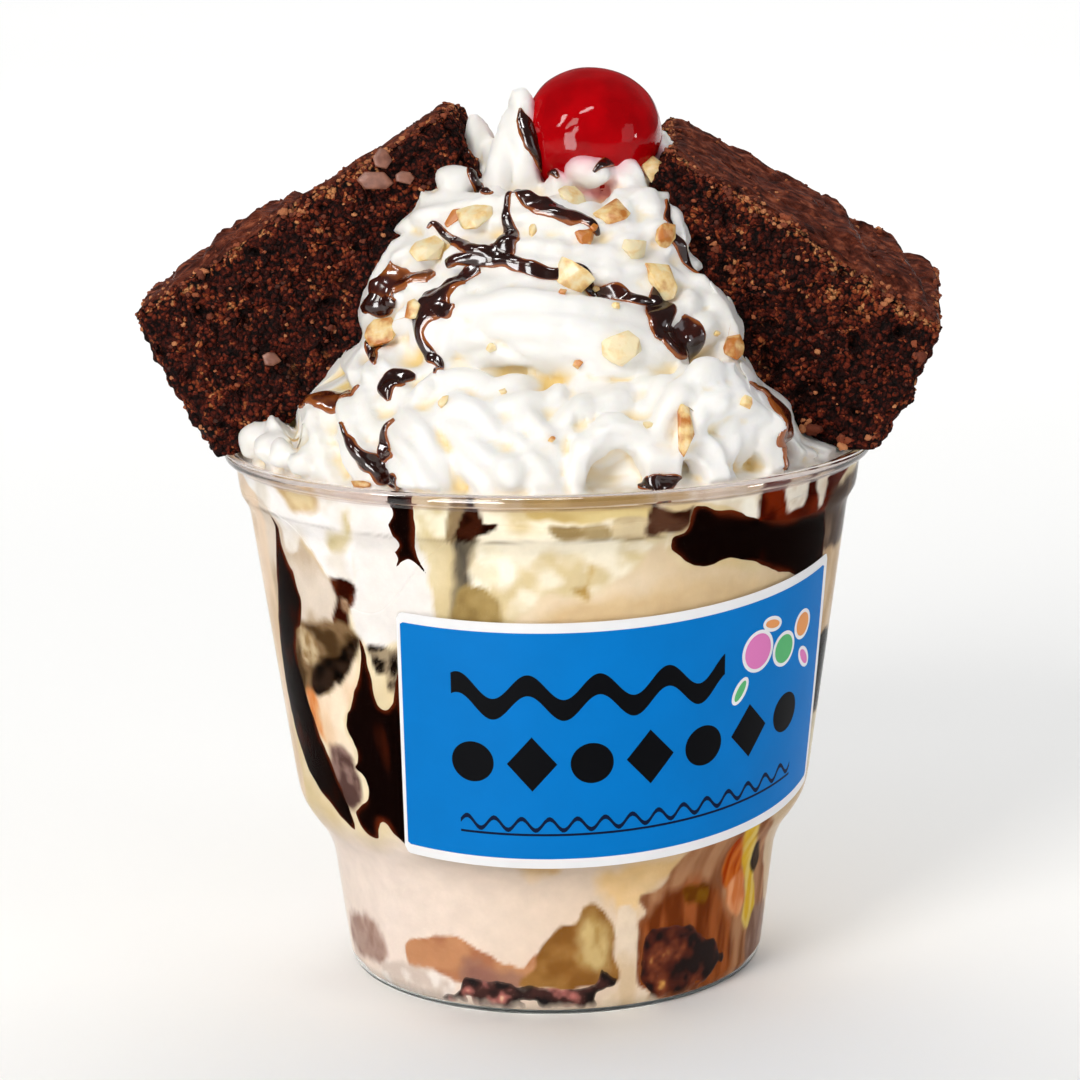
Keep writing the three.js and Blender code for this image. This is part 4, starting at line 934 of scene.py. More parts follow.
# All ropes become one body, as soft cream closes up where it touches.
points, faces = joined(bodies)
mesh = bpy.data.meshes.new("cream_ropes")
mesh.from_pydata(points.tolist(), [], faces)
ropes = bpy.data.objects.new("cream_ropes", mesh)
scene.collection.objects.link(ropes)
remesh = ropes.modifiers.new("one_body", "REMESH")
remesh.mode = "VOXEL"
remesh.voxel_size = CREAM_VOXEL
as_one = ropes.evaluated_get(bpy.context.evaluated_depsgraph_get())
made = bpy.data.meshes.new_from_object(as_one)
bpy.data.objects.remove(ropes)


def arrays(mesh):
    """The points, point normals and edges of a mesh."""
    points, normals = np.empty(len(mesh.vertices) * 3), np.empty(len(mesh.vertices) * 3)
    mesh.vertices.foreach_get("co", points)
    mesh.vertex_normals.foreach_get("vector", normals)
    edges = np.empty(len(mesh.edges) * 2, int)
    mesh.edges.foreach_get("vertices", edges)
    return points.reshape(-1, 3), normals.reshape(-1, 3), edges.reshape(-1, 2)


def eased(points, edges, times, share=0.5):
    """The points drawn towards the mean of their neighbours, that many times."""
    ends = np.concatenate([edges, edges[:, ::-1]])
    order = np.argsort(ends[:, 0], kind="stable")
    first, other = ends[order, 0], ends[order, 1]
    starts = np.searchsorted(first, np.arange(len(points)))
    count = np.bincount(first, minlength=len(points))[:, None]
    for _ in range(times):
        points = points + share * (np.add.reduceat(points[other], starts, axis=0) / count - points)
    return points


points, normals, edges = arrays(made)
# The front is drawn in where it would stand past the corner's lobes or into a slab.
in_front = np.clip((-7 - points[:, 1]) / 4, 0, 1) * np.clip((points[:, 2] - 82.2) / 1.5, 0, 1)
nearer = 0.08 * (points[:, 1] + 25)
crest = np.interp(points[:, 0] + nearer, CORNER_PLACES, CORNER_HEIGHTS)
points[:, 2] -= in_front * (1 - SQUASH) * np.maximum(points[:, 2] - crest, 0)
for side, reach in ((-1, LEFT_REACH), (1, RIGHT_REACH)):
    limit = np.interp(points[:, 2], HEAP_HEIGHTS, reach) + nearer
    limit += 0.7 * waves(points * (0, 0, 1), 3.6, 57 + side, 2)
    past = np.maximum(points[:, 0] * side - limit, 0)
    kept = SQUASH_SOFTLY * (1 - np.exp(-SQUASH * past / SQUASH_SOFTLY))
    points[:, 0] -= side * in_front * (past - kept)
points = eased(points, edges, 2)
# Hollows, then fine folds that follow the swirl, then every edge made crisper.
free = np.clip((points[:, 2] - 80) / 2, 0, 1)[:, None]
for azimuth, height, radius, depth in HOLLOWS:
    away = np.linalg.norm(points - on_heap(azimuth, height, np.array(-1.0)), axis=1) / radius
    points = points - free * way_out(azimuth, height) * (depth * np.exp(-away**2))[:, None]
swirl = np.degrees(np.arctan2(points[:, 0], -points[:, 1]))
around = np.hypot(points[:, 0], points[:, 1])
unrolled = np.stack([swirl * 0.22, points[:, 2] * 0.8 + swirl * 0.1, around * 0.5], -1)
folds = np.minimum(np.abs(waves(unrolled, 4.6, 51, 2)), 0.5) - 0.25
soft = waves(points, 3, 52, 2)
points = points + normals * free * (0.9 * folds + 0.08 * soft)[:, None]
crisp = points - eased(points, edges, 16)
points = eased(points + SHARPEN * free * crisp, edges, 1, 0.3)
around = np.hypot(points[:, 0], points[:, 1])
in_mouth = (points[:, 2] > 78) & (points[:, 2] < RIM_TOP + 0.3) & (around > MOUTH)
points[in_mouth, :2] *= (MOUTH / around[in_mouth])[:, None]
cavity = ((eased(points, edges, 26) - points) * normals).sum(1)
cream_faces = [tuple(p.vertices) for p in made.polygons]
cream_points = points
bpy.data.meshes.remove(made)

# Whipped cream is white fat foam: matt with a soft sheen, and light glows a little way in.
whipped, tree, surface = finish_of(
    "whipped_cream", Roughness=0.42, IOR=1.4, Subsurface_Weight=0.15,
    Subsurface_Radius=(0.0022, 0.0016, 0.0009), Subsurface_Scale=0.4, Specular_IOR_Level=0.35)
coords = add(tree, "TexCoord").outputs["Object"]
patches = add(tree, "TexNoise", {"Vector": coords, "Scale": 1 / (14 * MM), "Detail": 2.0})
tint = add(tree, "ValToRGB", {"Fac": patches.outputs["Fac"]}, ((0.35, "#F3F1EC"), (0.65, "#F9F8F6")))
laid = add(tree, "Attribute", attribute_name="melt").outputs["Color"]
colour = tint.outputs["Color"]
# Light is warmer in the hollows, juice of the cherry stains, and melt shows inside the wall.
for label, over in (("hollow", linear("#F0D592")), ("juice", linear("#E88BA0")), ("wetted", laid)):
    share = add(tree, "Attribute", attribute_name=label).outputs["Fac"]
    colour = add(tree, "Mix", {0: share, 6: colour, 7: over}, data_type="RGBA").outputs[2]
tree.links.new(colour, surface.inputs["Base Color"])
foam = add(tree, "TexNoise", {"Vector": coords, "Scale": 1 / (0.7 * MM), "Detail": 3.0})
relief = add(tree, "Bump", {"Height": foam.outputs["Fac"], "Strength": 0.12, "Distance": 0.25 * MM})
tree.links.new(relief.outputs["Normal"], surface.inputs["Normal"])
cream = piece("whipped_cream", cream_points, cream_faces, whipped, "whipped_cream", "whipped_cream")
to_cherry = np.linalg.norm(cream_points - CHERRY_PLACE, axis=1) - CHERRY_RADIUS
to_cherry += 0.9 * waves(cream_points, 3, 55, 2)
wetted = (RIM_TOP - cream_points[:, 2]) / 1.4 + 0.4 * waves(cream_points, 2.5, 56, 2)
lay(cream, "melt", wall_colours(cream_points))
lay(cream, "hollow", np.clip(cavity / 0.75 - 0.3, 0, 1))
lay(cream, "juice", np.clip(0.75 - to_cherry / 2.2, 0, 0.75))
lay(cream, "wetted", np.clip(wetted, 0, 1))

# Where the cream wets the wall it is one smooth skin, down to the edge of the ice cream.
share = np.linspace(0, 1, 40)[:, None]
heights = ice_top(WALL_AZIMUTHS, ICE_EDGE)[None, :] - 1.2
heights = heights + share * (WALL_TOP - 0.1 - heights)
outer = on_round(WALL_AZIMUTHS[None, :], inner_radius(heights) + INTO_WALL - 0.03, heights)
inner = on_round(WALL_AZIMUTHS[None, :], inner_radius(heights) - CREAM_SKIN, heights)
points, faces = skin(np.concatenate([outer, inner[::-6]]))
pressed = piece("cream_at_wall", points, faces, vanilla, "whipped_cream", "whipped_cream")
lay(pressed, "melt", wall_colours(points))


# ---- Chocolate drizzle ---------------------------------------------------------------
# Chocolate syrup poured over the cream in a thin wandering thread, which pools in the
# hollows, runs down the folds and thins to a red-brown edge.

# Each run as azimuth, height and half its width.
DRIZZLE = [
    [(-40.5, 115, 0.3), (-38.5, 115.7, 0.4), (-31.5, 114, 0.5), (-25.5, 113, 0.6), (-19.5, 112, 0.8),
     (-14.5, 112, 1.1), (-11.5, 113.5, 1.2), (-11, 115, 0.8), (-12.5, 117, 0.5), (-12.5, 119, 0.4),
     (-11.5, 122, 0.3)],
    [(-12, 121.5, 0.5), (-8, 120, 0.9), (-2.5, 118.5, 1.1), (4.5, 117, 1.1), (12, 116.5, 0.8),
     (17, 114.5, 0.6)],
    [(-29, 110.5, 1.2), (-24, 111, 1), (-18, 111, 0.8), (-11.5, 111, 0.8), (-5, 110, 0.8),
     (2, 109, 0.6), (7.5, 110, 0.3), (11, 109, 0.4), (14, 107.5, 0.8), (19, 107, 1.1), (23, 105.5, 0.8),
     (28, 105, 0.9)],
    [(31, 107, 0.8), (29.5, 104, 1.6), (27.5, 101.5, 1.3), (25, 99.5, 0.8)],
    [(26, 100, 1), (29.5, 99.5, 2), (34.5, 100.5, 1.9), (37, 99, 1.2), (38, 97, 0.4), (36.5, 95, 0.25)],
    [(-18.5, 110, 1), (-23.5, 109, 1.7), (-27, 107, 1.9), (-29.5, 105, 1.9), (-31, 103, 1.5),
     (-31.5, 101, 0.9), (-28.5, 99, 0.7), (-25.5, 98, 0.6), (-24.5, 96, 0.3)],
    [(-33, 106, 0.5), (-31.5, 105, 1.2), (-25, 104, 1), (-22, 104.3, 0.4)],
    [(-53.5, 106, 1.2), (-48.5, 107, 2.3), (-42.5, 108, 2.1), (-36.5, 109, 1.3), (-33.5, 109.5, 0.4)],
    [(-56, 104, 0.6), (-49.5, 104.5, 1.4), (-43, 105, 1)],
    [(-47, 103, 0.3), (-47.5, 100.5, 0.6), (-44.5, 98.5, 0.7), (-40, 96.5, 0.4)],
    [(-30.5, 96, 0.5), (-33, 95.7, 0.9), (-34.5, 94, 1.2), (-33, 92, 0.5)],
    [(-58.5, 89.5, 0.4), (-54, 91, 1.1), (-47, 91.5, 1.6), (-43.5, 92.5, 0.7), (-41, 93.2, 0.4)],
    [(-40, 88, 0.3), (-37.5, 86, 0.6), (-33.5, 84, 1.2), (-29.5, 83, 1.2), (-26.5, 81.8, 1)],
    [(-30, 89.5, 0.3), (-31.5, 87.5, 0.5), (-31, 85.5, 0.8), (-28.5, 85, 0.4)],
    [(22, 122.8, 0.4), (30.5, 123.8, 0.6), (41, 124.5, 0.4), (54, 124.5, 0.3)],
    [(16.5, 82.6, 0.5), (20, 82.4, 1.1), (23.5, 82.6, 0.5)],
    [(47, 118, 0.3), (42, 114, 0.6), (46, 111, 0.6), (49, 108, 0.4)],
    [(41.5, 92, 0.25), (45.5, 91.7, 0.4), (49, 90.4, 1.2), (48.5, 87, 2), (47.2, 83.5, 2.1),
     (46.8, 81.5, 1.8)],
]
# The runs that lie on the cream as a thin smear, so that their middle is red-brown too.
SMEARS = (7, 11, 17)
# Runs down the peaks at the top: across and up as seen from the front, and half the width.
PEAK_DRIZZLE = [
    [(-3.2, 134.6, 0.3), (-2.8, 132.8, 0.8), (-2, 130.6, 1.2), (-0.9, 128.4, 1.2), (0.7, 126, 0.9),
     (2.2, 124, 0.4)],
    [(-12.2, 131.4, 0.6), (-11.4, 128.9, 0.8), (-10.8, 126.4, 0.6), (-10, 123.9, 0.5),
     (-8.7, 122.1, 0.6), (-7.3, 121.4, 0.3)],
]
SEEN_ALONG = Vector((0, 0.979, -0.204))
# How far a run spreads, and the places across it from edge to edge.
SPREAD = 1.7
ACROSS = np.array([-1, -0.9, -0.66, -0.33, 0, 0.33, 0.66, 0.9, 1])
cream_tree = BVHTree.FromPolygons([Vector(p) for p in cream_points], cream_faces)


def land_from_front(across, up):
    """Where a look from the front, a little from above, meets the cream, and its normal."""
    eye = Vector((across, -25, up)) - SEEN_ALONG * 30
    spot, normal, _, _ = cream_tree.ray_cast(eye, SEEN_ALONG)
    return (spot, normal) if spot else (Vector((across, -20, up)), -SEEN_ALONG)


def land_on_cream(azimuth, height):
    """Where a look straight at the heap meets the cream, and the cream's normal there."""
    away = Vector(way_out(azimuth, height))
    aim = Vector(on_round(azimuth, heap_radius(height), height))
    spot, normal, _, _ = cream_tree.ray_cast(aim + away * 20, -away)
    return (spot, normal) if spot else (aim, away)


bodies, thin = [], []
poured = [(run, land_on_cream) for run in DRIZZLE]
poured += [(run, land_from_front) for run in PEAK_DRIZZLE]
for number, (run, land) in enumerate(poured):
    guide = open_curve(run, 16 * len(run))
    landed = [land(first, second) for first, second, _ in guide]
    spots, outs = np.array([s for s, _ in landed]), np.array([n for _, n in landed])
    for _ in range(12):
        spots[1:-1] = (spots[:-2] + 2 * spots[1:-1] + spots[2:]) / 4
        outs[1:-1] = (outs[:-2] + 2 * outs[1:-1] + outs[2:]) / 4
    outs = unit(outs)
    aside = np.cross(unit(np.gradient(spots, axis=0)), outs)
    ends = np.sin(np.pi * np.linspace(0.03, 0.97, len(spots))) ** 0.4
    wide = SPREAD * np.clip(guide[:, 2], 0.2, 3) * ends * (1 + 0.14 * waves(spots, 3, 60 + number, 2))
    crown = np.sqrt(np.clip(1 - ACROSS**2, 0, 1)) ** 0.8
    tall = (0.32 + 0.16 * np.minimum(wide, 1.6))[:, None] * crown
    upper, lower = [], []
    for i in range(len(spots)):
        row = [cream_tree.find_nearest(Vector(spots[i] + aside[i] * wide[i] * share))[0]
               for share in ACROSS]
        row = np.array(row)
        upper.append(row + outs[i] * (tall[i][:, None] + 0.08))
        lower.append((row - outs[i] * 0.35)[-2:0:-1])
    rings = np.concatenate([np.array(upper), np.array(lower)], 1)
    for _ in range(3):
        rings[1:-1] = (rings[:-2] + 2 * rings[1:-1] + rings[2:]) / 4
    bodies.append(skin(rings, rings[0].mean(0), rings[-1].mean(0)))
    film = np.abs(ACROSS) ** 5 + 1.4 * np.clip(0.62 - wide, 0, 0.5)[:, None]
    film += 0.4 if number in SMEARS else 0.0
    thin.append(np.concatenate([film, film[:, -2:0:-1]], 1).ravel())
    thin.append(np.ones(2))

# Chocolate syrup: wet gloss under a thin clear coat, and a red-brown glow where it is thin.
syrup, tree, surface = finish_of(
    "chocolate_syrup", Roughness=0.14, IOR=1.45, Coat_Weight=0.35, Coat_Roughness=0.04)
coords = add(tree, "TexCoord").outputs["Object"]
streaks = add(tree, "TexNoise", {"Vector": coords, "Scale": 1 / (4 * MM), "Detail": 2.0})
film = add(tree, "Attribute", attribute_name="thin").outputs["Fac"]
clear = add(tree, "Math", {0: film, 1: 0.75, 2: streaks.outputs["Fac"]}, operation="MULTIPLY_ADD")
tint = add(tree, "ValToRGB", {"Fac": clear.outputs[0]},
           ((0.5, "#230A05"), (0.8, "#43150A"), (1, "#96501E")))
tree.links.new(tint.outputs["Color"], surface.inputs["Base Color"])
drizzle = piece("chocolate_drizzle", *joined(bodies), syrup, "fudge", "whipped_cream")
lay(drizzle, "thin", np.concatenate(thin))


# ---- Chopped nuts --------------------------------------------------------------------
# Chopped almonds and peanuts, 1 to 7 mm: broken faces are pale cream, the rounded outsides
# a roasted tan.

# Each as across and up from the front, length, width to length, lean of the long side, roast.
FRONT_NUTS = [
    (9.5, 118.1, 6.2, 0.92, 50, 0.5), (-10, 117.7, 5.6, 0.93, 30, 0.15),
    (-12.9, 117.8, 3.4, 0.62, 60, 0.9), (-16.8, 113.2, 6.2, 0.74, 80, 0.1),
    (-18.9, 104.2, 3.6, 0.86, 60, 0.45), (-23.1, 101.2, 6.5, 0.7, 20, 0.55),
    (4, 108.7, 6.6, 0.78, -35, 0.2), (16.1, 107.9, 7.2, 0.72, -70, 0.4),
    (15.7, 124.9, 5.7, 0.8, 60, 0.4), (10.8, 97.7, 6.6, 0.76, -5, 0.05),
    (18.9, 85.7, 7.6, 0.4, 85, 0.5), (3.9, 120.5, 4.8, 0.95, 20, 0.15), (26.6, 98.3, 4.8, 0.7, 60, 0.9),
    (17.2, 115.1, 4.1, 0.95, 30, 0.7), (12.8, 112.6, 5.2, 0.7, -10, 0),
    (5.6, 114.3, 3.6, 0.72, 10, 0.9), (-1.6, 115.5, 2, 0.65, 80, 0.4),
    (-14.5, 90.4, 2.3, 0.56, 60, 0.5), (4.4, 95.7, 1.6, 0.9, 0, 0.9), (13.8, 86.5, 1.8, 0.7, 20, 0.4),
    (2.4, 105.9, 1.3, 0.9, 0, 0.8), (9.8, 103.9, 1.3, 0.9, 0, 0.4), (24.2, 100.3, 1.2, 0.8, 0, 0.4),
    (-26.4, 79.1, 3.2, 0.42, 0, 0.8), (-7.7, 98.3, 1.6, 0.9, 0, 0.2), (27.7, 89.6, 2.3, 0.8, 60, 0.7),
    (6.9, 115.8, 1.4, 0.8, 10, 0.9), (-6.2, 91.8, 1.2, 0.8, 0, 0.3), (0.4, 84.7, 1.2, 0.7, 30, 0.5),
    (7.3, 107, 1.3, 0.8, 0, 0.6),
]
# On the back, with azimuth and height in place of across and up.
BACK_NUTS = [
    (150, 112, 5, 0.7, 20, 0.4), (175, 108, 6, 0.6, 80, 0.3), (200, 113, 5, 0.7, -30, 0.6),
    (165, 92, 5, 0.7, 10, 0.3), (235, 88, 5.5, 0.6, 60, 0.5), (120, 96, 4, 0.7, 40, 0.6),
    (192, 99, 4.4, 0.7, -10, 0.2), (214, 103, 3, 0.7, 0, 0.8), (95, 103, 5, 0.8, 20, 0.5),
    (265, 104, 4.4, 0.8, 50, 0.3), (182, 121, 4, 0.8, 0, 0.5),
]
NUT_THICK = 0.42

bodies, roasts = [], []
draw = np.random.default_rng(7)
scattered = [(land_from_front(*nut[:2]), nut[2:]) for nut in FRONT_NUTS]
scattered += [(land_on_cream(*nut[:2]), nut[2:]) for nut in BACK_NUTS]
for (spot, normal), (length, narrow, lean, roast) in scattered:
    azimuth, height = math.degrees(math.atan2(spot[0], -spot[1])), spot[2]
    chip = bmesh.new()
    for _ in range(20):
        way = draw.normal(size=3)
        chip.verts.new(way / np.linalg.norm(way) * draw.uniform(0.88, 1.0))
    hull = bmesh.ops.convex_hull(chip, input=chip.verts)
    loose = [v for v in hull["geom_interior"] if isinstance(v, bmesh.types.BMVert)]
    bmesh.ops.delete(chip, geom=loose, context="VERTS")
    bmesh.ops.bevel(chip, geom=chip.edges[:], offset=0.05, segments=2, affect="EDGES", profile=0.6)
    out = np.array(normal) + 0.6 * way_out(azimuth, height) + draw.uniform(-0.15, 0.15, 3)
    out /= np.linalg.norm(out)
    level = on_round(azimuth + 90, 1.0, 0)
    level = level - out * (level @ out)
    level /= np.linalg.norm(level)
    rise = np.cross(out, level)
    c, s = math.cos(math.radians(lean)), math.sin(math.radians(lean))
    axes = np.array([level * c + rise * s, rise * c - level * s, out])
    size = length / 2 * np.array([1.12, narrow * 1.12, max(NUT_THICK, 1.2 / length)])
    middle = np.array(spot) + out * size[2] * 0.45
    chip.verts.index_update()
    bodies.append((np.array([np.array(v.co) * size for v in chip.verts]) @ axes + middle,
                   [tuple(v.index for v in face.verts) for face in chip.faces]))
    roasts.append(np.full(len(chip.verts), roast))
    chip.free()

# Nut meat is dry and slightly oily: a satin with fine grain, paler where it was cut.
nut_meat, tree, surface = finish_of(
    "chopped_nut", Roughness=0.45, IOR=1.47, Subsurface_Weight=0.25,
    Subsurface_Radius=(0.002, 0.0012, 0.0006), Subsurface_Scale=0.5)
coords = add(tree, "TexCoord").outputs["Object"]
brown = add(tree, "Attribute", attribute_name="roast").outputs["Fac"]
mottle = add(tree, "TexNoise", {"Vector": coords, "Scale": 1 / (2.2 * MM), "Detail": 4.0})
toast = add(tree, "Math", {0: brown, 1: 0.4, 2: mottle.outputs["Fac"]}, operation="MULTIPLY_ADD")
tint = add(tree, "ValToRGB", {"Fac": toast.outputs[0]},
           ((0.5, "#F3E4BC"), (0.66, "#EFCE8C"), (0.86, "#C2741F")))
tree.links.new(tint.outputs["Color"], surface.inputs["Base Color"])
relief = add(tree, "Bump", {"Height": mottle.outputs["Fac"], "Strength": 0.4, "Distance": 0.3 * MM})
tree.links.new(relief.outputs["Normal"], surface.inputs["Normal"])
nuts = piece("chopped_nuts", *joined(bodies), nut_meat, "whipped_cream", "whipped_cream")
lay(nuts, "roast", np.concatenate(roasts))


# ---- Brownie slabs -------------------------------------------------------------------
# Two thick squares cut from a tray of brownie: an open, moist, nearly black crumb on the
# cut faces, and a thin baked crust, paler, crackled and a little glossy, on the top.

SLAB_DEPTH = 50
SLABS = {
    "brownie_left": dict(corner=(-60.8, -15, 103.3), length=55, thick=25.5, slope=32, pitch=4.8,
                         turn=3, flare=0.02, splay=1.8),
    "brownie_right": dict(corner=(58.1, -20, 99.9), length=47.9, thick=24, slope=-33.4, pitch=1.2,
                          turn=-6.5, flare=0.08, splay=2),
}
# How far the crust has risen at the back: places across, then the rise at each.
RISEN = {
    "brownie_left": ((-62, -59.1, -56.1, -55.2, -53.5, -50.8, -50.2,
                      -48.8, -46.6, -43.1, -40.5, -39, -37.3),
                     (1.2, 1.7, 0.9, 2.1, 2.2, 0.9, 2.1, 3.2, 2.4, 2.7, 1.4, 1.7, 0.0)),
    "brownie_right": ((19, 25, 29, 36, 37.4, 42.8, 46.5, 47.5, 47.9, 49.2, 51.8, 55.1, 56, 56.4, 58.1, 60),
                      (-0.6, 0.6, 0.7, 1.3, 1.7, 2.4, 3.2, 2.7, 1.6, 1.8, 2.7, 3.1, 2.6, 1.2, 2.2, 3.0)),
}
CRUMB_CELL = 0.44
SLAB_WORN = 1.5
RIM_CLEAR = 81.9


def cells(points, size, seed):
    """How far each point is from the nearest of one scattered spot to a cell, as a share."""
    spot = np.asarray(points) / size
    base = np.floor(spot)
    best = np.full(len(spot), 9.0)
    for step in np.ndindex(3, 3, 3):
        cell = base + np.array(step) - 1
        place = cell + np.stack([lattice(cell, seed + k) for k in range(3)], -1)
        best = np.minimum(best, ((place - spot) ** 2).sum(-1))
    return np.sqrt(best)


def box_skin(counts):
    """Points from -1 to 1 and faces of a box whose sides are divided into squares."""
    points, faces = [], []
    index = {}
    for axis in range(3):
        a, b = (axis + 1) % 3, (axis + 2) % 3
        for end in (0, counts[axis]):
            for i in range(counts[a]):
                for j in range(counts[b]):
                    face = []
                    for di, dj in ((0, 0), (1, 0), (1, 1), (0, 1)):
                        place = [0, 0, 0]
                        place[axis], place[a], place[b] = end, i + di, j + dj
                        face.append(index.setdefault(tuple(place), len(index)))
                    faces.append(tuple(face) if end else tuple(face[::-1]))
    return np.array(list(index), float) / counts * 2 - 1, faces


def turned(points, axis, degrees):
    """The points turned about an axis through the origin."""
    return points @ np.array(Matrix.Rotation(math.radians(degrees), 3, axis)).T


def slab_points(share, corner, length, thick, slope, pitch, turn, flare, splay):
    """Places in the slab's block, from -1 to 1 each way, taken to where the slab leans."""
    side = math.copysign(1, slope)
    x = side * (share[:, 0] + 1) * length / 2 * (1 + flare * (share[:, 1] + 1) / 2)
    y = (share[:, 1] + 1) * SLAB_DEPTH / 2
    z = (share[:, 2] - 1) * thick / 2
    placed = np.stack([x + side * splay * z / thick, y, z], -1)
    placed = turned(turned(turned(placed, "X", -pitch), "Y", -slope), "Z", turn)
    return placed + np.array(corner)


# Moist crumb: clumped grains, most nearly black and a few baked tan, with painted shade in the
# gaps between them and in the holes; the crust is smoother and browner, with small blisters,
# and catches a shine.
crumb_finish, tree, surface = finish_of("brownie_crumb", IOR=1.45, Specular_IOR_Level=0.07)
coords = add(tree, "TexCoord").outputs["Object"]
crust_share = add(tree, "Attribute", attribute_name="crust").outputs["Fac"]
pit = add(tree, "Attribute", attribute_name="pit").outputs["Fac"]
edge = add(tree, "Attribute", attribute_name="edge").outputs["Fac"]
stir = add(tree, "TexNoise", {"Vector": coords, "Scale": 1 / (1.4 * MM), "Detail": 3.0})
pushed = add(tree, "VectorMath", {0: stir.outputs["Color"], "Scale": 1.1 * MM}, operation="SCALE")
place = add(tree, "VectorMath", {0: coords, 1: pushed.outputs[0]}, operation="ADD").outputs[0]
grain = add(tree, "TexVoronoi", {"Vector": place, "Scale": 1 / (0.6 * MM)})
clump = add(tree, "TexVoronoi", {"Vector": place, "Scale": 1 / (1.6 * MM)})
patchy = add(tree, "TexNoise", {"Vector": coords, "Scale": 1 / (7 * MM), "Detail": 3.0})
grain_tone = add(tree, "SeparateColor", {0: grain.outputs["Color"]}).outputs[0]
clump_tone = add(tree, "SeparateColor", {0: clump.outputs["Color"]}).outputs[1]
tone = add(tree, "Math", {0: grain_tone, 1: 0.52, 2: -0.16}, operation="MULTIPLY_ADD")
# The edge share makes the crumb lighter and redder under the crust: tan crumbs there, and painted light on
# the top of each cut face.
for share, more in ((0.34, clump_tone), (0.62, patchy.outputs["Fac"]), (0.30, edge)):
    tone = add(tree, "Math", {0: more, 1: share, 2: tone.outputs[0]}, operation="MULTIPLY_ADD")
crumb = add(tree, "ValToRGB", {"Fac": tone.outputs[0]},
            ((0.36, "#1D0704"), (0.60, "#43140B"), (0.78, "#722A19"), (0.90, "#984626"),
             (0.97, "#B8683A"), (1, "#CE8A58")))
# Painted shade: the gaps between grains turn nearly black.
gap = add(tree, "MapRange", {"Value": grain.outputs["Distance"], "From Min": 0.42, "From Max": 0.78})
crumb = add(tree, "Mix", {0: gap.outputs["Result"], 6: crumb.outputs["Color"], 7: linear("#080201")},
            data_type="RGBA")
bake = add(tree, "TexNoise", {"Vector": coords, "Scale": 1 / (2.2 * MM), "Detail": 6.0, "Roughness": 0.6})
blister = add(tree, "TexVoronoi", {"Vector": place, "Scale": 1 / (1.9 * MM)})
crust = add(tree, "ValToRGB", {"Fac": bake.outputs["Fac"]},
            ((0.34, "#260D07"), (0.52, "#5E2819"), (0.72, "#A0563A")))
both = add(tree, "Mix", {0: crust_share, 6: crumb.outputs[2], 7: crust.outputs["Color"]}, data_type="RGBA")
# Painted shade: the holes turn nearly black.
deep = add(tree, "Mix", {0: pit, 6: both.outputs[2], 7: linear("#0A0302")}, data_type="RGBA")
tree.links.new(deep.outputs[2], surface.inputs["Base Color"])
wet = add(tree, "MapRange", {"Value": patchy.outputs["Fac"], "From Min": 0.42, "From Max": 0.6,
                             "To Min": 0.55, "To Max": 0.2})
shine = add(tree, "Mix", {0: crust_share, 2: 0.75, 3: wet.outputs["Result"]})
tree.links.new(shine.outputs[0], surface.inputs["Roughness"])
dome = add(tree, "Math", {0: grain.outputs["Distance"], 1: -0.7, 2: 1.0}, operation="MULTIPLY_ADD")
grains = add(tree, "Math", {0: clump.outputs["Distance"], 1: -1.1, 2: dome.outputs[0]},
             operation="MULTIPLY_ADD")
blisters = add(tree, "Math", {0: blister.outputs["Distance"], 1: -0.5, 2: bake.outputs["Fac"]},
               operation="MULTIPLY_ADD")
level = add(tree, "Mix", {0: crust_share, 2: grains.outputs[0], 3: blisters.outputs[0]})
relief = add(tree, "Bump", {"Height": level.outputs[0], "Strength": 1.0, "Distance": 0.9 * MM})
tree.links.new(relief.outputs["Normal"], surface.inputs["Normal"])

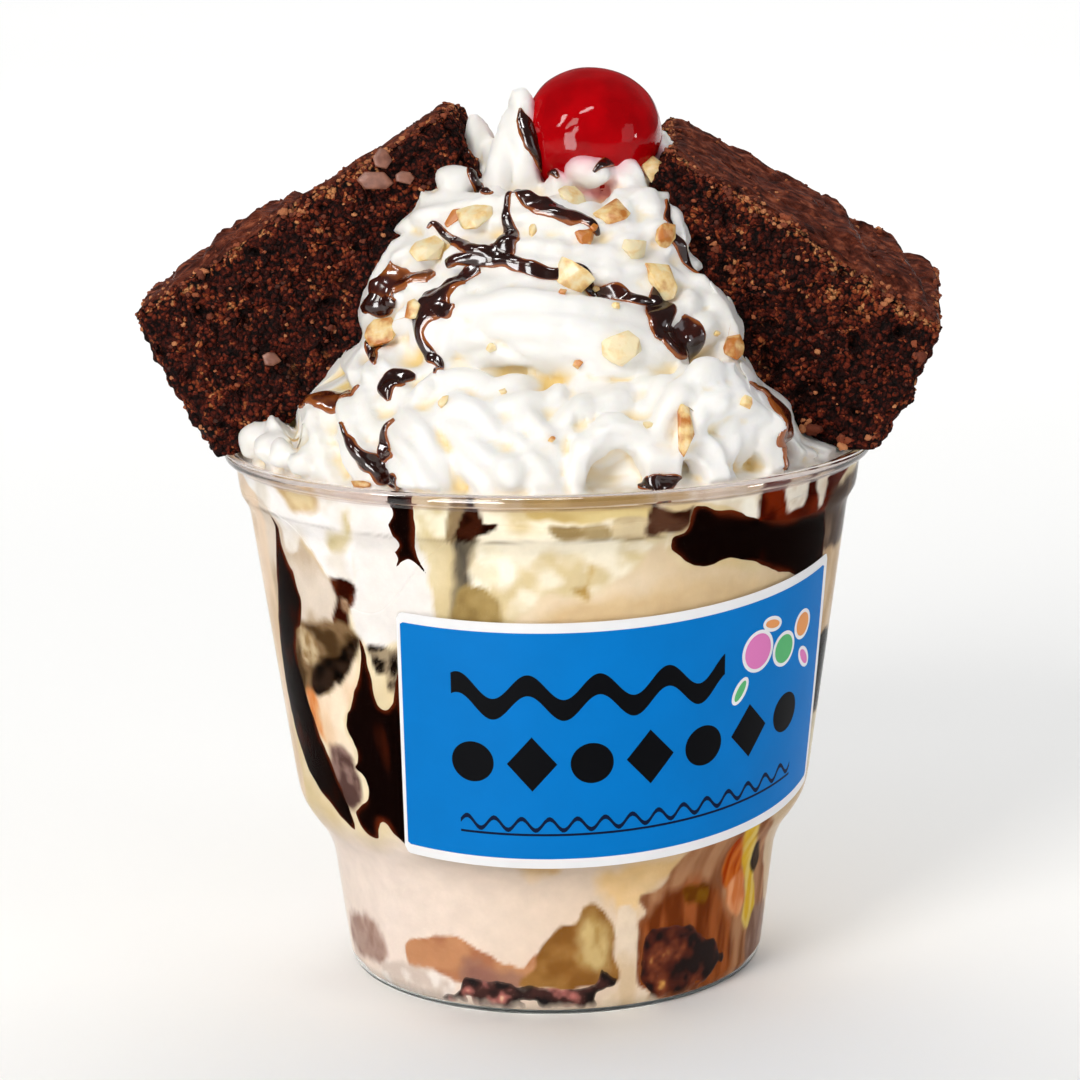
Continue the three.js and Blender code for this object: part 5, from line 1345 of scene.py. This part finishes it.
slab_skins = {}
for name, shape in SLABS.items():
    size = np.array([shape["length"], SLAB_DEPTH, shape["thick"]])
    share, faces = box_skin(np.round(size / CRUMB_CELL).astype(int))
    half = size / 2
    local = share * half
    on_face = np.abs(share) > 0.9999
    way = unit(np.sign(share) * on_face)
    from_edge = np.sort(half - np.abs(local), axis=1)[:, 1]
    uneven = 1 + 0.6 * waves(local, 5, 70, 2)
    worn = SLAB_WORN * uneven * np.clip(1 - from_edge / 2.4, 0, 1) ** 2
    top = share[:, 2] > 0.9999
    ragged = 0.9 + 1.1 * waves(local, 3, 71, 3)
    on_crust = np.clip((from_edge - ragged) / 0.5 + 0.5, 0, 1) * top
    holes = 2.2 * np.clip(waves(local, 2.6, 72, 2) - 0.35, 0, 0.6)
    holes += 1.4 * np.clip(waves(local, 1.5, 74) - 0.3, 0, 0.6)
    lumps = (0.7 * waves(local, 11, 78, 1) + 0.5 * waves(local, 3.2, 79, 2)
             + 0.9 * (0.5 - cells(local, 2.4, 81)) + 0.75 * (0.5 - cells(local, 1.4, 84)))
    cracks = np.clip(0.10 - np.abs(waves(local, 8, 82, 2)), 0, 1) * 5
    crisp = 0.45 * waves(local, 11, 78, 1) + 0.4 * waves(local, 3.2, 79, 3) - cracks
    depth = np.where(top, crisp, lumps - holes)
    share = (local + way * (depth - worn)[:, None]) / half
    points = slab_points(share, **shape)
    from_top, from_front = half[2] - local[:, 2], half[1] + local[:, 1]
    behind = np.clip((from_front - 5) / 7, 0, 1) * np.clip(1 - from_top / 3, 0, 1)
    points[:, 2] += behind * np.interp(points[:, 0], *RISEN[name])
    points[:, 2] = np.maximum(points[:, 2], RIM_CLEAR)
    slab = piece(name, points, faces, crumb_finish, "brownie", name)
    # A band under the crust's edge: tan crumbs there, and painted light on the top of each cut face.
    band = 2.6 + 1.2 * waves(local, 5, 86, 2)
    rim = np.clip(1.15 - np.where(top, from_edge, from_top) / band, 0, 1)
    lay(slab, "crust", on_crust)
    # Painted shade in the holes of the cut faces.
    lay(slab, "pit", np.clip(holes - 0.15, 0, 0.8) * (1 - on_crust))
    lay(slab, "edge", rim)
    slab_skins[name] = (points, faces, BVHTree.FromPolygons([Vector(p) for p in points], faces), rim)


# ---- Crumbs and chocolate flakes -----------------------------------------------------
# Loose crumbs of the same brownie, dry and lighter than the cut face, and a few thin curls
# of milk chocolate, which cling to the faces and the edges of the slabs.

# Across and up as seen from the front, then width and height.
FLAKES = [
    (-23.3, 125, 2.6, 3.2), (-24, 122, 6.4, 3.6), (-20, 122.5, 3.2, 2), (-40.2, 96.5, 2.4, 2.6),
]
BIG_CRUMBS = [
    (-26.5, 113, 1.5), (-28, 111, 1.2), (-48.5, 102.5, 1.7), (-53, 102, 1.4), (-17.5, 121, 1.5),
    (-25, 118, 1.5), (-43.5, 114, 1.4), (-31.5, 100, 1.9), (-31.5, 92, 1.2), (-28.5, 119.5, 1.2),
    (-36, 109, 1.1), (-37, 117, 2), (-50, 108.5, 2.4), (-51.5, 106.5, 1.5), (27, 108, 2),
    (30.5, 105.5, 1.4), (34, 108, 1.3), (23.5, 116.5, 1), (29.5, 116.5, 0.8), (49, 103.5, 2.1),
    (24.5, 112, 2.3), (38.5, 85, 3.6), (38, 83.4, 2.6), (43.5, 83.4, 3), (47, 83.6, 2.6),
    (54, 96.5, 2.5), (56, 101.5, 2.8), (52.5, 102, 1.4), (45, 87.5, 1.2), (18.5, 126, 2.1),
    (35, 115.5, 2.1), (53, 108.5, 2),
]
# How many loose grains cling to the edges, to all faces and to the front of each slab.
EDGE_CRUMBS, FACE_CRUMBS, FRONT_CRUMBS = 380, 420, 260


def land_on_slab(x, z):
    """Where a look from the front meets a slab, and the slab's normal there."""
    for _, _, tree, _ in slab_skins.values():
        spot, normal, _, _ = tree.ray_cast(Vector((x, -60, z)), Vector((0, 1, 0)))
        if spot:
            return np.array(spot), np.array(normal)
    return None


def crumb_shape(middle, radius, seed, rows, around):
    """A rough grain: a small ball pushed in and out."""
    turns = np.linspace(0, np.pi, rows + 2)[1:-1]
    ball = np.array([on_round(np.arange(around) * 360 / around, math.sin(a), -math.cos(a)) for a in turns])
    ball = ball * (0.8 + 0.45 * waves(ball + seed, 0.8, 33, 2))[..., None] * (1, 0.9, 0.8)
    return skin(middle + radius * ball, middle - (0, 0, radius * 0.6), middle + (0, 0, radius * 0.6))


def clinging(points, faces, chosen, smallest, largest):
    """Grains at those faces of a slab, but not down at the rim."""
    found = []
    for i in chosen:
        middle = points[list(faces[i])].mean(0)
        if middle[2] > RIM_CLEAR + 1:
            found.append((middle, draw.uniform(smallest, largest)))
    return found


# Pairs of a grain's middle and its radius: clusters where crumbs have gathered, then the edges
# of the crust, then the faces.
draw = np.random.default_rng(19)
grains = []
for x, z, width in BIG_CRUMBS:
    landed = land_on_slab(x, z)
    if landed is not None:
        for _ in range(4 if width > 1.8 else 2):
            off = draw.normal(size=3) * width * 0.22
            grains.append((landed[0] + off + landed[1] * 0.15 * width, width * draw.uniform(0.25, 0.42)))
for points, faces, _, rim in slab_skins.values():
    crest = np.array([i for i, face in enumerate(faces) if rim[face[0]] > 0.55])
    grains += clinging(points, faces, draw.choice(crest, EDGE_CRUMBS, replace=False), 0.25, 0.62)
toasted = len(grains)
for points, faces, _, _ in slab_skins.values():
    front = np.array([i for i, face in enumerate(faces) if points[list(face), 1].mean() < -5 and i % 2])
    for among, count, low, high in ((len(faces), FACE_CRUMBS, 0.22, 0.5), (front, FRONT_CRUMBS, 0.2, 0.55)):
        grains += clinging(points, faces, draw.choice(among, count, replace=False), low, high)
bodies, tones = [], []
for number, (middle, radius) in enumerate(grains):
    fine = (4, 6) if radius < 0.6 else (7, 10)
    bodies.append(crumb_shape(middle, radius, number * 3.7, *fine))
    tone = draw.uniform(0.45, 1.0) if number < toasted else draw.uniform()
    tones.append(np.full(len(bodies[-1][0]), tone))
# Crumb that has dried is matt, and lighter and redder where it was toasted.
dry_crumb, tree, surface = finish_of("dry_crumb", Roughness=0.8, IOR=1.4, Specular_IOR_Level=0.25)
coords = add(tree, "TexCoord").outputs["Object"]
laid = add(tree, "Attribute", attribute_name="tone").outputs["Fac"]
tint = add(tree, "ValToRGB", {"Fac": laid},
           ((0, "#3A1B0F"), (0.5, "#622A19"), (0.8, "#92482A"), (1, "#C98557")))
tree.links.new(tint.outputs["Color"], surface.inputs["Base Color"])
rough = add(tree, "TexNoise", {"Vector": coords, "Scale": 1 / (0.5 * MM), "Detail": 4.0})
relief = add(tree, "Bump", {"Height": rough.outputs["Fac"], "Strength": 0.8, "Distance": 0.3 * MM})
tree.links.new(relief.outputs["Normal"], surface.inputs["Normal"])
crumbs = piece("brownie_crumbs", *joined(bodies), dry_crumb, "brownie", "brownie_left", "brownie_right")
lay(crumbs, "tone", np.concatenate(tones))

# A flake is a flat chip with six corners, thicker in the middle.
bodies = []
for x, z, width, tall in FLAKES:
    spot, _ = land_on_slab(x, z)
    facing = Vector(draw.uniform((-0.25, -1.1, -0.2), (0.25, -0.9, 0.3)))
    tilt = Vector((0, 0, 1)).rotation_difference(facing).to_matrix()
    around = (np.arange(6) + draw.uniform(-0.25, 0.25, 6)) / 6 * 2 * np.pi
    corners = np.stack([np.cos(around), np.sin(around)], -1) * draw.uniform(0.7, 1.3, (6, 1))
    at = np.arange(0, 6, 0.25)
    first, share = at.astype(int), (at % 1)[:, None]
    chipped = corners[first] * (1 - share) + corners[(first + 1) % 6] * share
    flat = np.concatenate([chipped * (width / 2, tall / 2), np.zeros((24, 1))], 1)
    rings = np.array([flat * 0.5 + (0, 0, 0.55), flat * 0.85 + (0, 0, 0.5), flat + (0, 0, 0.36),
                      flat + (0, 0, 0.12), flat * 0.8 - (0, 0, 0.1)])
    rings = rings @ np.array(tilt).T + spot + (0, -0.5, 0)
    bodies.append(skin(rings[::-1], rings[-1].mean(0), rings[0].mean(0)))
# Milk chocolate is a soft satin brown, mottled with a little bloom.
milk_chocolate, tree, surface = finish_of("milk_chocolate", Roughness=0.5, IOR=1.45)
coords = add(tree, "TexCoord").outputs["Object"]
bloom = add(tree, "TexNoise", {"Vector": coords, "Scale": 1 / (1.2 * MM), "Detail": 3.0})
tint = add(tree, "ValToRGB", {"Fac": bloom.outputs["Fac"]}, ((0.3, "#6C3B28"), (0.7, "#96604A")))
tree.links.new(tint.outputs["Color"], surface.inputs["Base Color"])
relief = add(tree, "Bump", {"Height": bloom.outputs["Fac"], "Strength": 0.4, "Distance": 0.2 * MM})
tree.links.new(relief.outputs["Normal"], surface.inputs["Normal"])
piece("chocolate_flakes", *joined(bodies), milk_chocolate, "brownie", "brownie_left")


# ---- Cherry --------------------------------------------------------------------------
# A maraschino cherry without its stalk: a candied fruit soaked in red syrup, so the skin is
# taut, wet and dented, and the flesh under it a deep red.

CHERRY_HEIGHT = 19.6
# Dents in the skin: the way out to each, its width and its depth, as shares of the radius.
DENTS = (
    ((-0.55, -0.72, 0.42), 0.22, 0.045), ((-0.2, -0.75, 0.62), 0.16, 0.03),
    ((0.3, -0.85, 0.42), 0.14, 0.02), ((-0.85, 0.1, 0.5), 0.3, 0.06),
)

rows = np.linspace(0, np.pi, 100)[1:-1]
azimuths = np.arange(140) * 360 / 140
ball = np.array([on_round(azimuths, math.sin(a), -math.cos(a)) for a in rows])
dents = np.zeros(ball.shape[:2])
for way, width, depth in DENTS:
    way = np.array(way) / np.linalg.norm(way)
    dents += depth * np.exp(-((np.linalg.norm(ball - way, axis=-1) / width) ** 2))
bulge = 1 + 0.02 * waves(ball, 0.7, 91, 2) - dents
middle, pole = np.array(CHERRY_PLACE), np.array((0, 0, CHERRY_HEIGHT / 2))
rings = ball * bulge[..., None] * (CHERRY_RADIUS, CHERRY_RADIUS, CHERRY_HEIGHT / 2) + middle

# A wet candied skin: dark clear red, with small sharp glints where it dents.
candied, tree, surface = finish_of(
    "candied_cherry", Roughness=0.06, IOR=1.42, Specular_IOR_Level=0.14,
    Coat_Weight=0.08, Coat_Roughness=0.03)
coords = add(tree, "TexCoord").outputs["Object"]
flesh = add(tree, "TexNoise", {"Vector": coords, "Scale": 1 / (6 * MM), "Detail": 2.0})
tint = add(tree, "ValToRGB", {"Fac": flesh.outputs["Fac"]}, ((0.35, "#9C0007"), (0.7, "#BC0009")))
tree.links.new(tint.outputs["Color"], surface.inputs["Base Color"])
pucker = add(tree, "TexNoise", {"Vector": coords, "Scale": 1 / (4.5 * MM), "Detail": 1.5, "Roughness": 0.4})
relief = add(tree, "Bump", {"Height": pucker.outputs["Fac"], "Strength": 0.6, "Distance": 0.9 * MM})
for name in ("Normal", "Coat Normal"):
    tree.links.new(relief.outputs["Normal"], surface.inputs[name])
piece("cherry", *skin(rings, middle - pole, middle + pole), candied, "cherry", "cherry")


# ---- Label ---------------------------------------------------------------------------
# A rectangular sticker of coated paper, blue with a white border, wrapped on the cone of
# the wall. Its print is a plain pattern of bold black shapes, a thin scallop and sprinkles.

LABEL_WIDTH, LABEL_HEIGHT = 74.7, 37.8
LABEL_AZIMUTH, LABEL_MIDDLE, LABEL_TILT = 19.8, 44.05, 2.6
LABEL_CORNER = 1.1
# The straight wall under the sticker: radius and height low down and high up.
WALL_LOW, WALL_HIGH = (39.2, 28.0), (45.4, 72.5)
BORDER_LEFT, BORDER_RIGHT, BORDER_TOP = 0.6, 1.3, 1.5
PRINT_LIFT = 0.15


def on_label(across, up, lift):
    """Points of the sticker: laid out flat, then rolled on to the cone of the wall."""
    flare = math.atan2(WALL_HIGH[0] - WALL_LOW[0], WALL_HIGH[1] - WALL_LOW[1])
    apex = WALL_LOW[1] - WALL_LOW[0] / math.tan(flare)
    reach = (LABEL_MIDDLE - apex) / math.cos(flare)
    tilt = math.radians(LABEL_TILT)
    x = across * math.cos(tilt) - up * math.sin(tilt)
    y = across * math.sin(tilt) + up * math.cos(tilt)
    distance = np.hypot(x, reach + y)
    turn = np.arctan2(x, reach + y) / math.sin(flare)
    return on_round(LABEL_AZIMUTH + np.degrees(turn), distance * math.sin(flare) + lift,
                    apex + distance * math.cos(flare))


def rounded_box(width, height, corner):
    """A grid of flat places that fills a rectangle with round corners."""
    across = np.linspace(-width / 2, width / 2, 150)
    over = np.clip(np.abs(across) - (width / 2 - corner), 0, corner)
    half = height / 2 - (corner - np.sqrt(corner**2 - over**2))
    up = np.linspace(-1, 1, 40)[None, :] * half[:, None]
    return np.repeat(across[:, None], 40, 1), up


def square(steps):
    """A grid of places from -1 to 1 both ways."""
    return np.meshgrid(np.linspace(-1, 1, steps), np.linspace(-1, 1, steps), indexing="ij")


def disc(across, up, width, height, turn=0):
    """A grid of flat places that fills an oval, turned by so many degrees."""
    u, v = square(14)
    x, y = u * np.sqrt(1 - v * v / 2) * width / 2, v * np.sqrt(1 - u * u / 2) * height / 2
    c, s = math.cos(math.radians(turn)), math.sin(math.radians(turn))
    return across + x * c - y * s, up + x * s + y * c


def band(start, end, middle, thick, swing, beat):
    """A grid of flat places that fills a wavy band between two places across."""
    across = np.linspace(start, end, 160)
    wave = middle + swing * np.sin(2 * np.pi * across / beat)
    up = wave[:, None] + np.linspace(-0.5, 0.5, 5)[None, :] * thick
    return np.repeat(across[:, None], 5, 1), up


def diamond(across, up, width, height):
    """A grid of flat places that fills a diamond."""
    u, v = square(9)
    return across + (u + v) * width / 4, up + (v - u) * height / 4


def sheets_on_label(grids, low, high):
    """Closed thin sheets on the sticker from grids of flat places, between two lifts."""
    bodies = []
    for across, up in grids:
        columns, rows = across.shape
        number = np.arange(columns * rows).reshape(columns, rows)
        a, b, c, d = number[:-1, :-1], number[1:, :-1], number[1:, 1:], number[:-1, 1:]
        quads = np.stack([a, b, c, d], -1).reshape(-1, 4)
        rim = np.concatenate([number[:, 0], number[-1, 1:], number[-2::-1, -1], number[0, -2:0:-1]])
        half = columns * rows
        points = np.concatenate([on_label(across, up, lift).reshape(-1, 3) for lift in (low, high)])
        sides = [(i, j, j + half, i + half) for i, j in zip(rim.tolist(), np.roll(rim, -1).tolist())]
        bodies.append((points, [*(quads + half).tolist(), *quads[:, ::-1].tolist(), *sides]))
    return joined(bodies)


# Coated paper under gloss ink: a satin sheet, smooth but for the faint tooth of its fibres.
def printed(name, colour):
    """A plain ink or the bare paper, with the faint unevenness of print."""
    ink, tree, surface = finish_of(name, Roughness=0.45, IOR=1.45, Specular_IOR_Level=0.05)
    coords = add(tree, "TexCoord").outputs["Object"]
    mottle = add(tree, "TexNoise", {"Vector": coords, "Scale": 1 / (9 * MM), "Detail": 3.0})
    shade = add(tree, "MapRange", {"Value": mottle.outputs["Fac"], "To Min": 0.9, "To Max": 1.08})
    tint = add(tree, "Mix", {0: 1.0, 6: linear(colour), 7: shade.outputs["Result"]},
               data_type="RGBA", blend_type="MULTIPLY")
    tree.links.new(tint.outputs[2], surface.inputs["Base Color"])
    fibre = add(tree, "TexNoise", {"Vector": coords, "Scale": 1 / (0.4 * MM), "Detail": 2.0})
    relief = add(tree, "Bump", {"Height": fibre.outputs["Fac"], "Strength": 0.05, "Distance": 0.1 * MM})
    tree.links.new(relief.outputs["Normal"], surface.inputs["Normal"])
    return ink


sticker = rounded_box(LABEL_WIDTH, LABEL_HEIGHT, LABEL_CORNER)
field = rounded_box(LABEL_WIDTH - BORDER_LEFT - BORDER_RIGHT, LABEL_HEIGHT - 2 * BORDER_TOP, 0.3)
field = (field[0] + (BORDER_LEFT - BORDER_RIGHT) / 2, field[1])
bold = [band(-29, 12, 7.6, 3.2, 1.9, 10.2)]
bold += [diamond(x, -2.6, 7.2, 8.4) if i % 2 else disc(x, -2.6, 6.2, 6.2)
         for i, x in enumerate(np.arange(-26, 30, 8.6))]
fine = [band(-28, 28, -12.0, 0.7, 0.9, 4.0), band(-28, 28, -13.6, 0.35, 0, 4.0)]
sprinkles = {
    "pink_ink": ("#E884C4", [(18.5, 9.5, 5.4, 5.4, 0), (30.5, 4.6, 1.4, 3.6, 40)]),
    "mint_ink": ("#63BF7C", [(24.5, 8.0, 4.4, 4.4, 0), (15.0, 4.2, 1.3, 3.4, -35)]),
    "orange_ink": ("#F2A365", [(29.5, 10.2, 3.6, 3.6, 0), (21.5, 12.9, 1.3, 3.2, 75)]),
}
backing = [disc(x, y, w + 1.1, h + 1.1, t)
           for _, shapes in sprinkles.values() for x, y, w, h, t in shapes]
paper = printed("label_paper", "#F4F4F6")
# Each print: its name, its shapes, how far it lies off the wall inside and out, and its ink.
prints = [
    ("label", [sticker], 0.02, 0.1, paper),
    ("label_blue_field", [field], 0.05, 0.13, printed("blue_ink", "#0079CC")),
    ("label_black_shapes", bold, 0.1, PRINT_LIFT, printed("black_ink", "#07080C")),
    ("label_navy_lines", fine, 0.1, PRINT_LIFT, printed("navy_ink", "#0B1A3A")),
    ("label_white_rims", backing, 0.1, PRINT_LIFT, paper),
]
for name, (colour, shapes) in sprinkles.items():
    ovals = [disc(*shape) for shape in shapes]
    prints.append(("label_" + name, ovals, 0.12, PRINT_LIFT + 0.02, printed(name, colour)))
for name, grids, low, high, ink in prints:
    piece(name, *sheets_on_label(grids, low, high), ink, "label", "label").data.shade_flat()
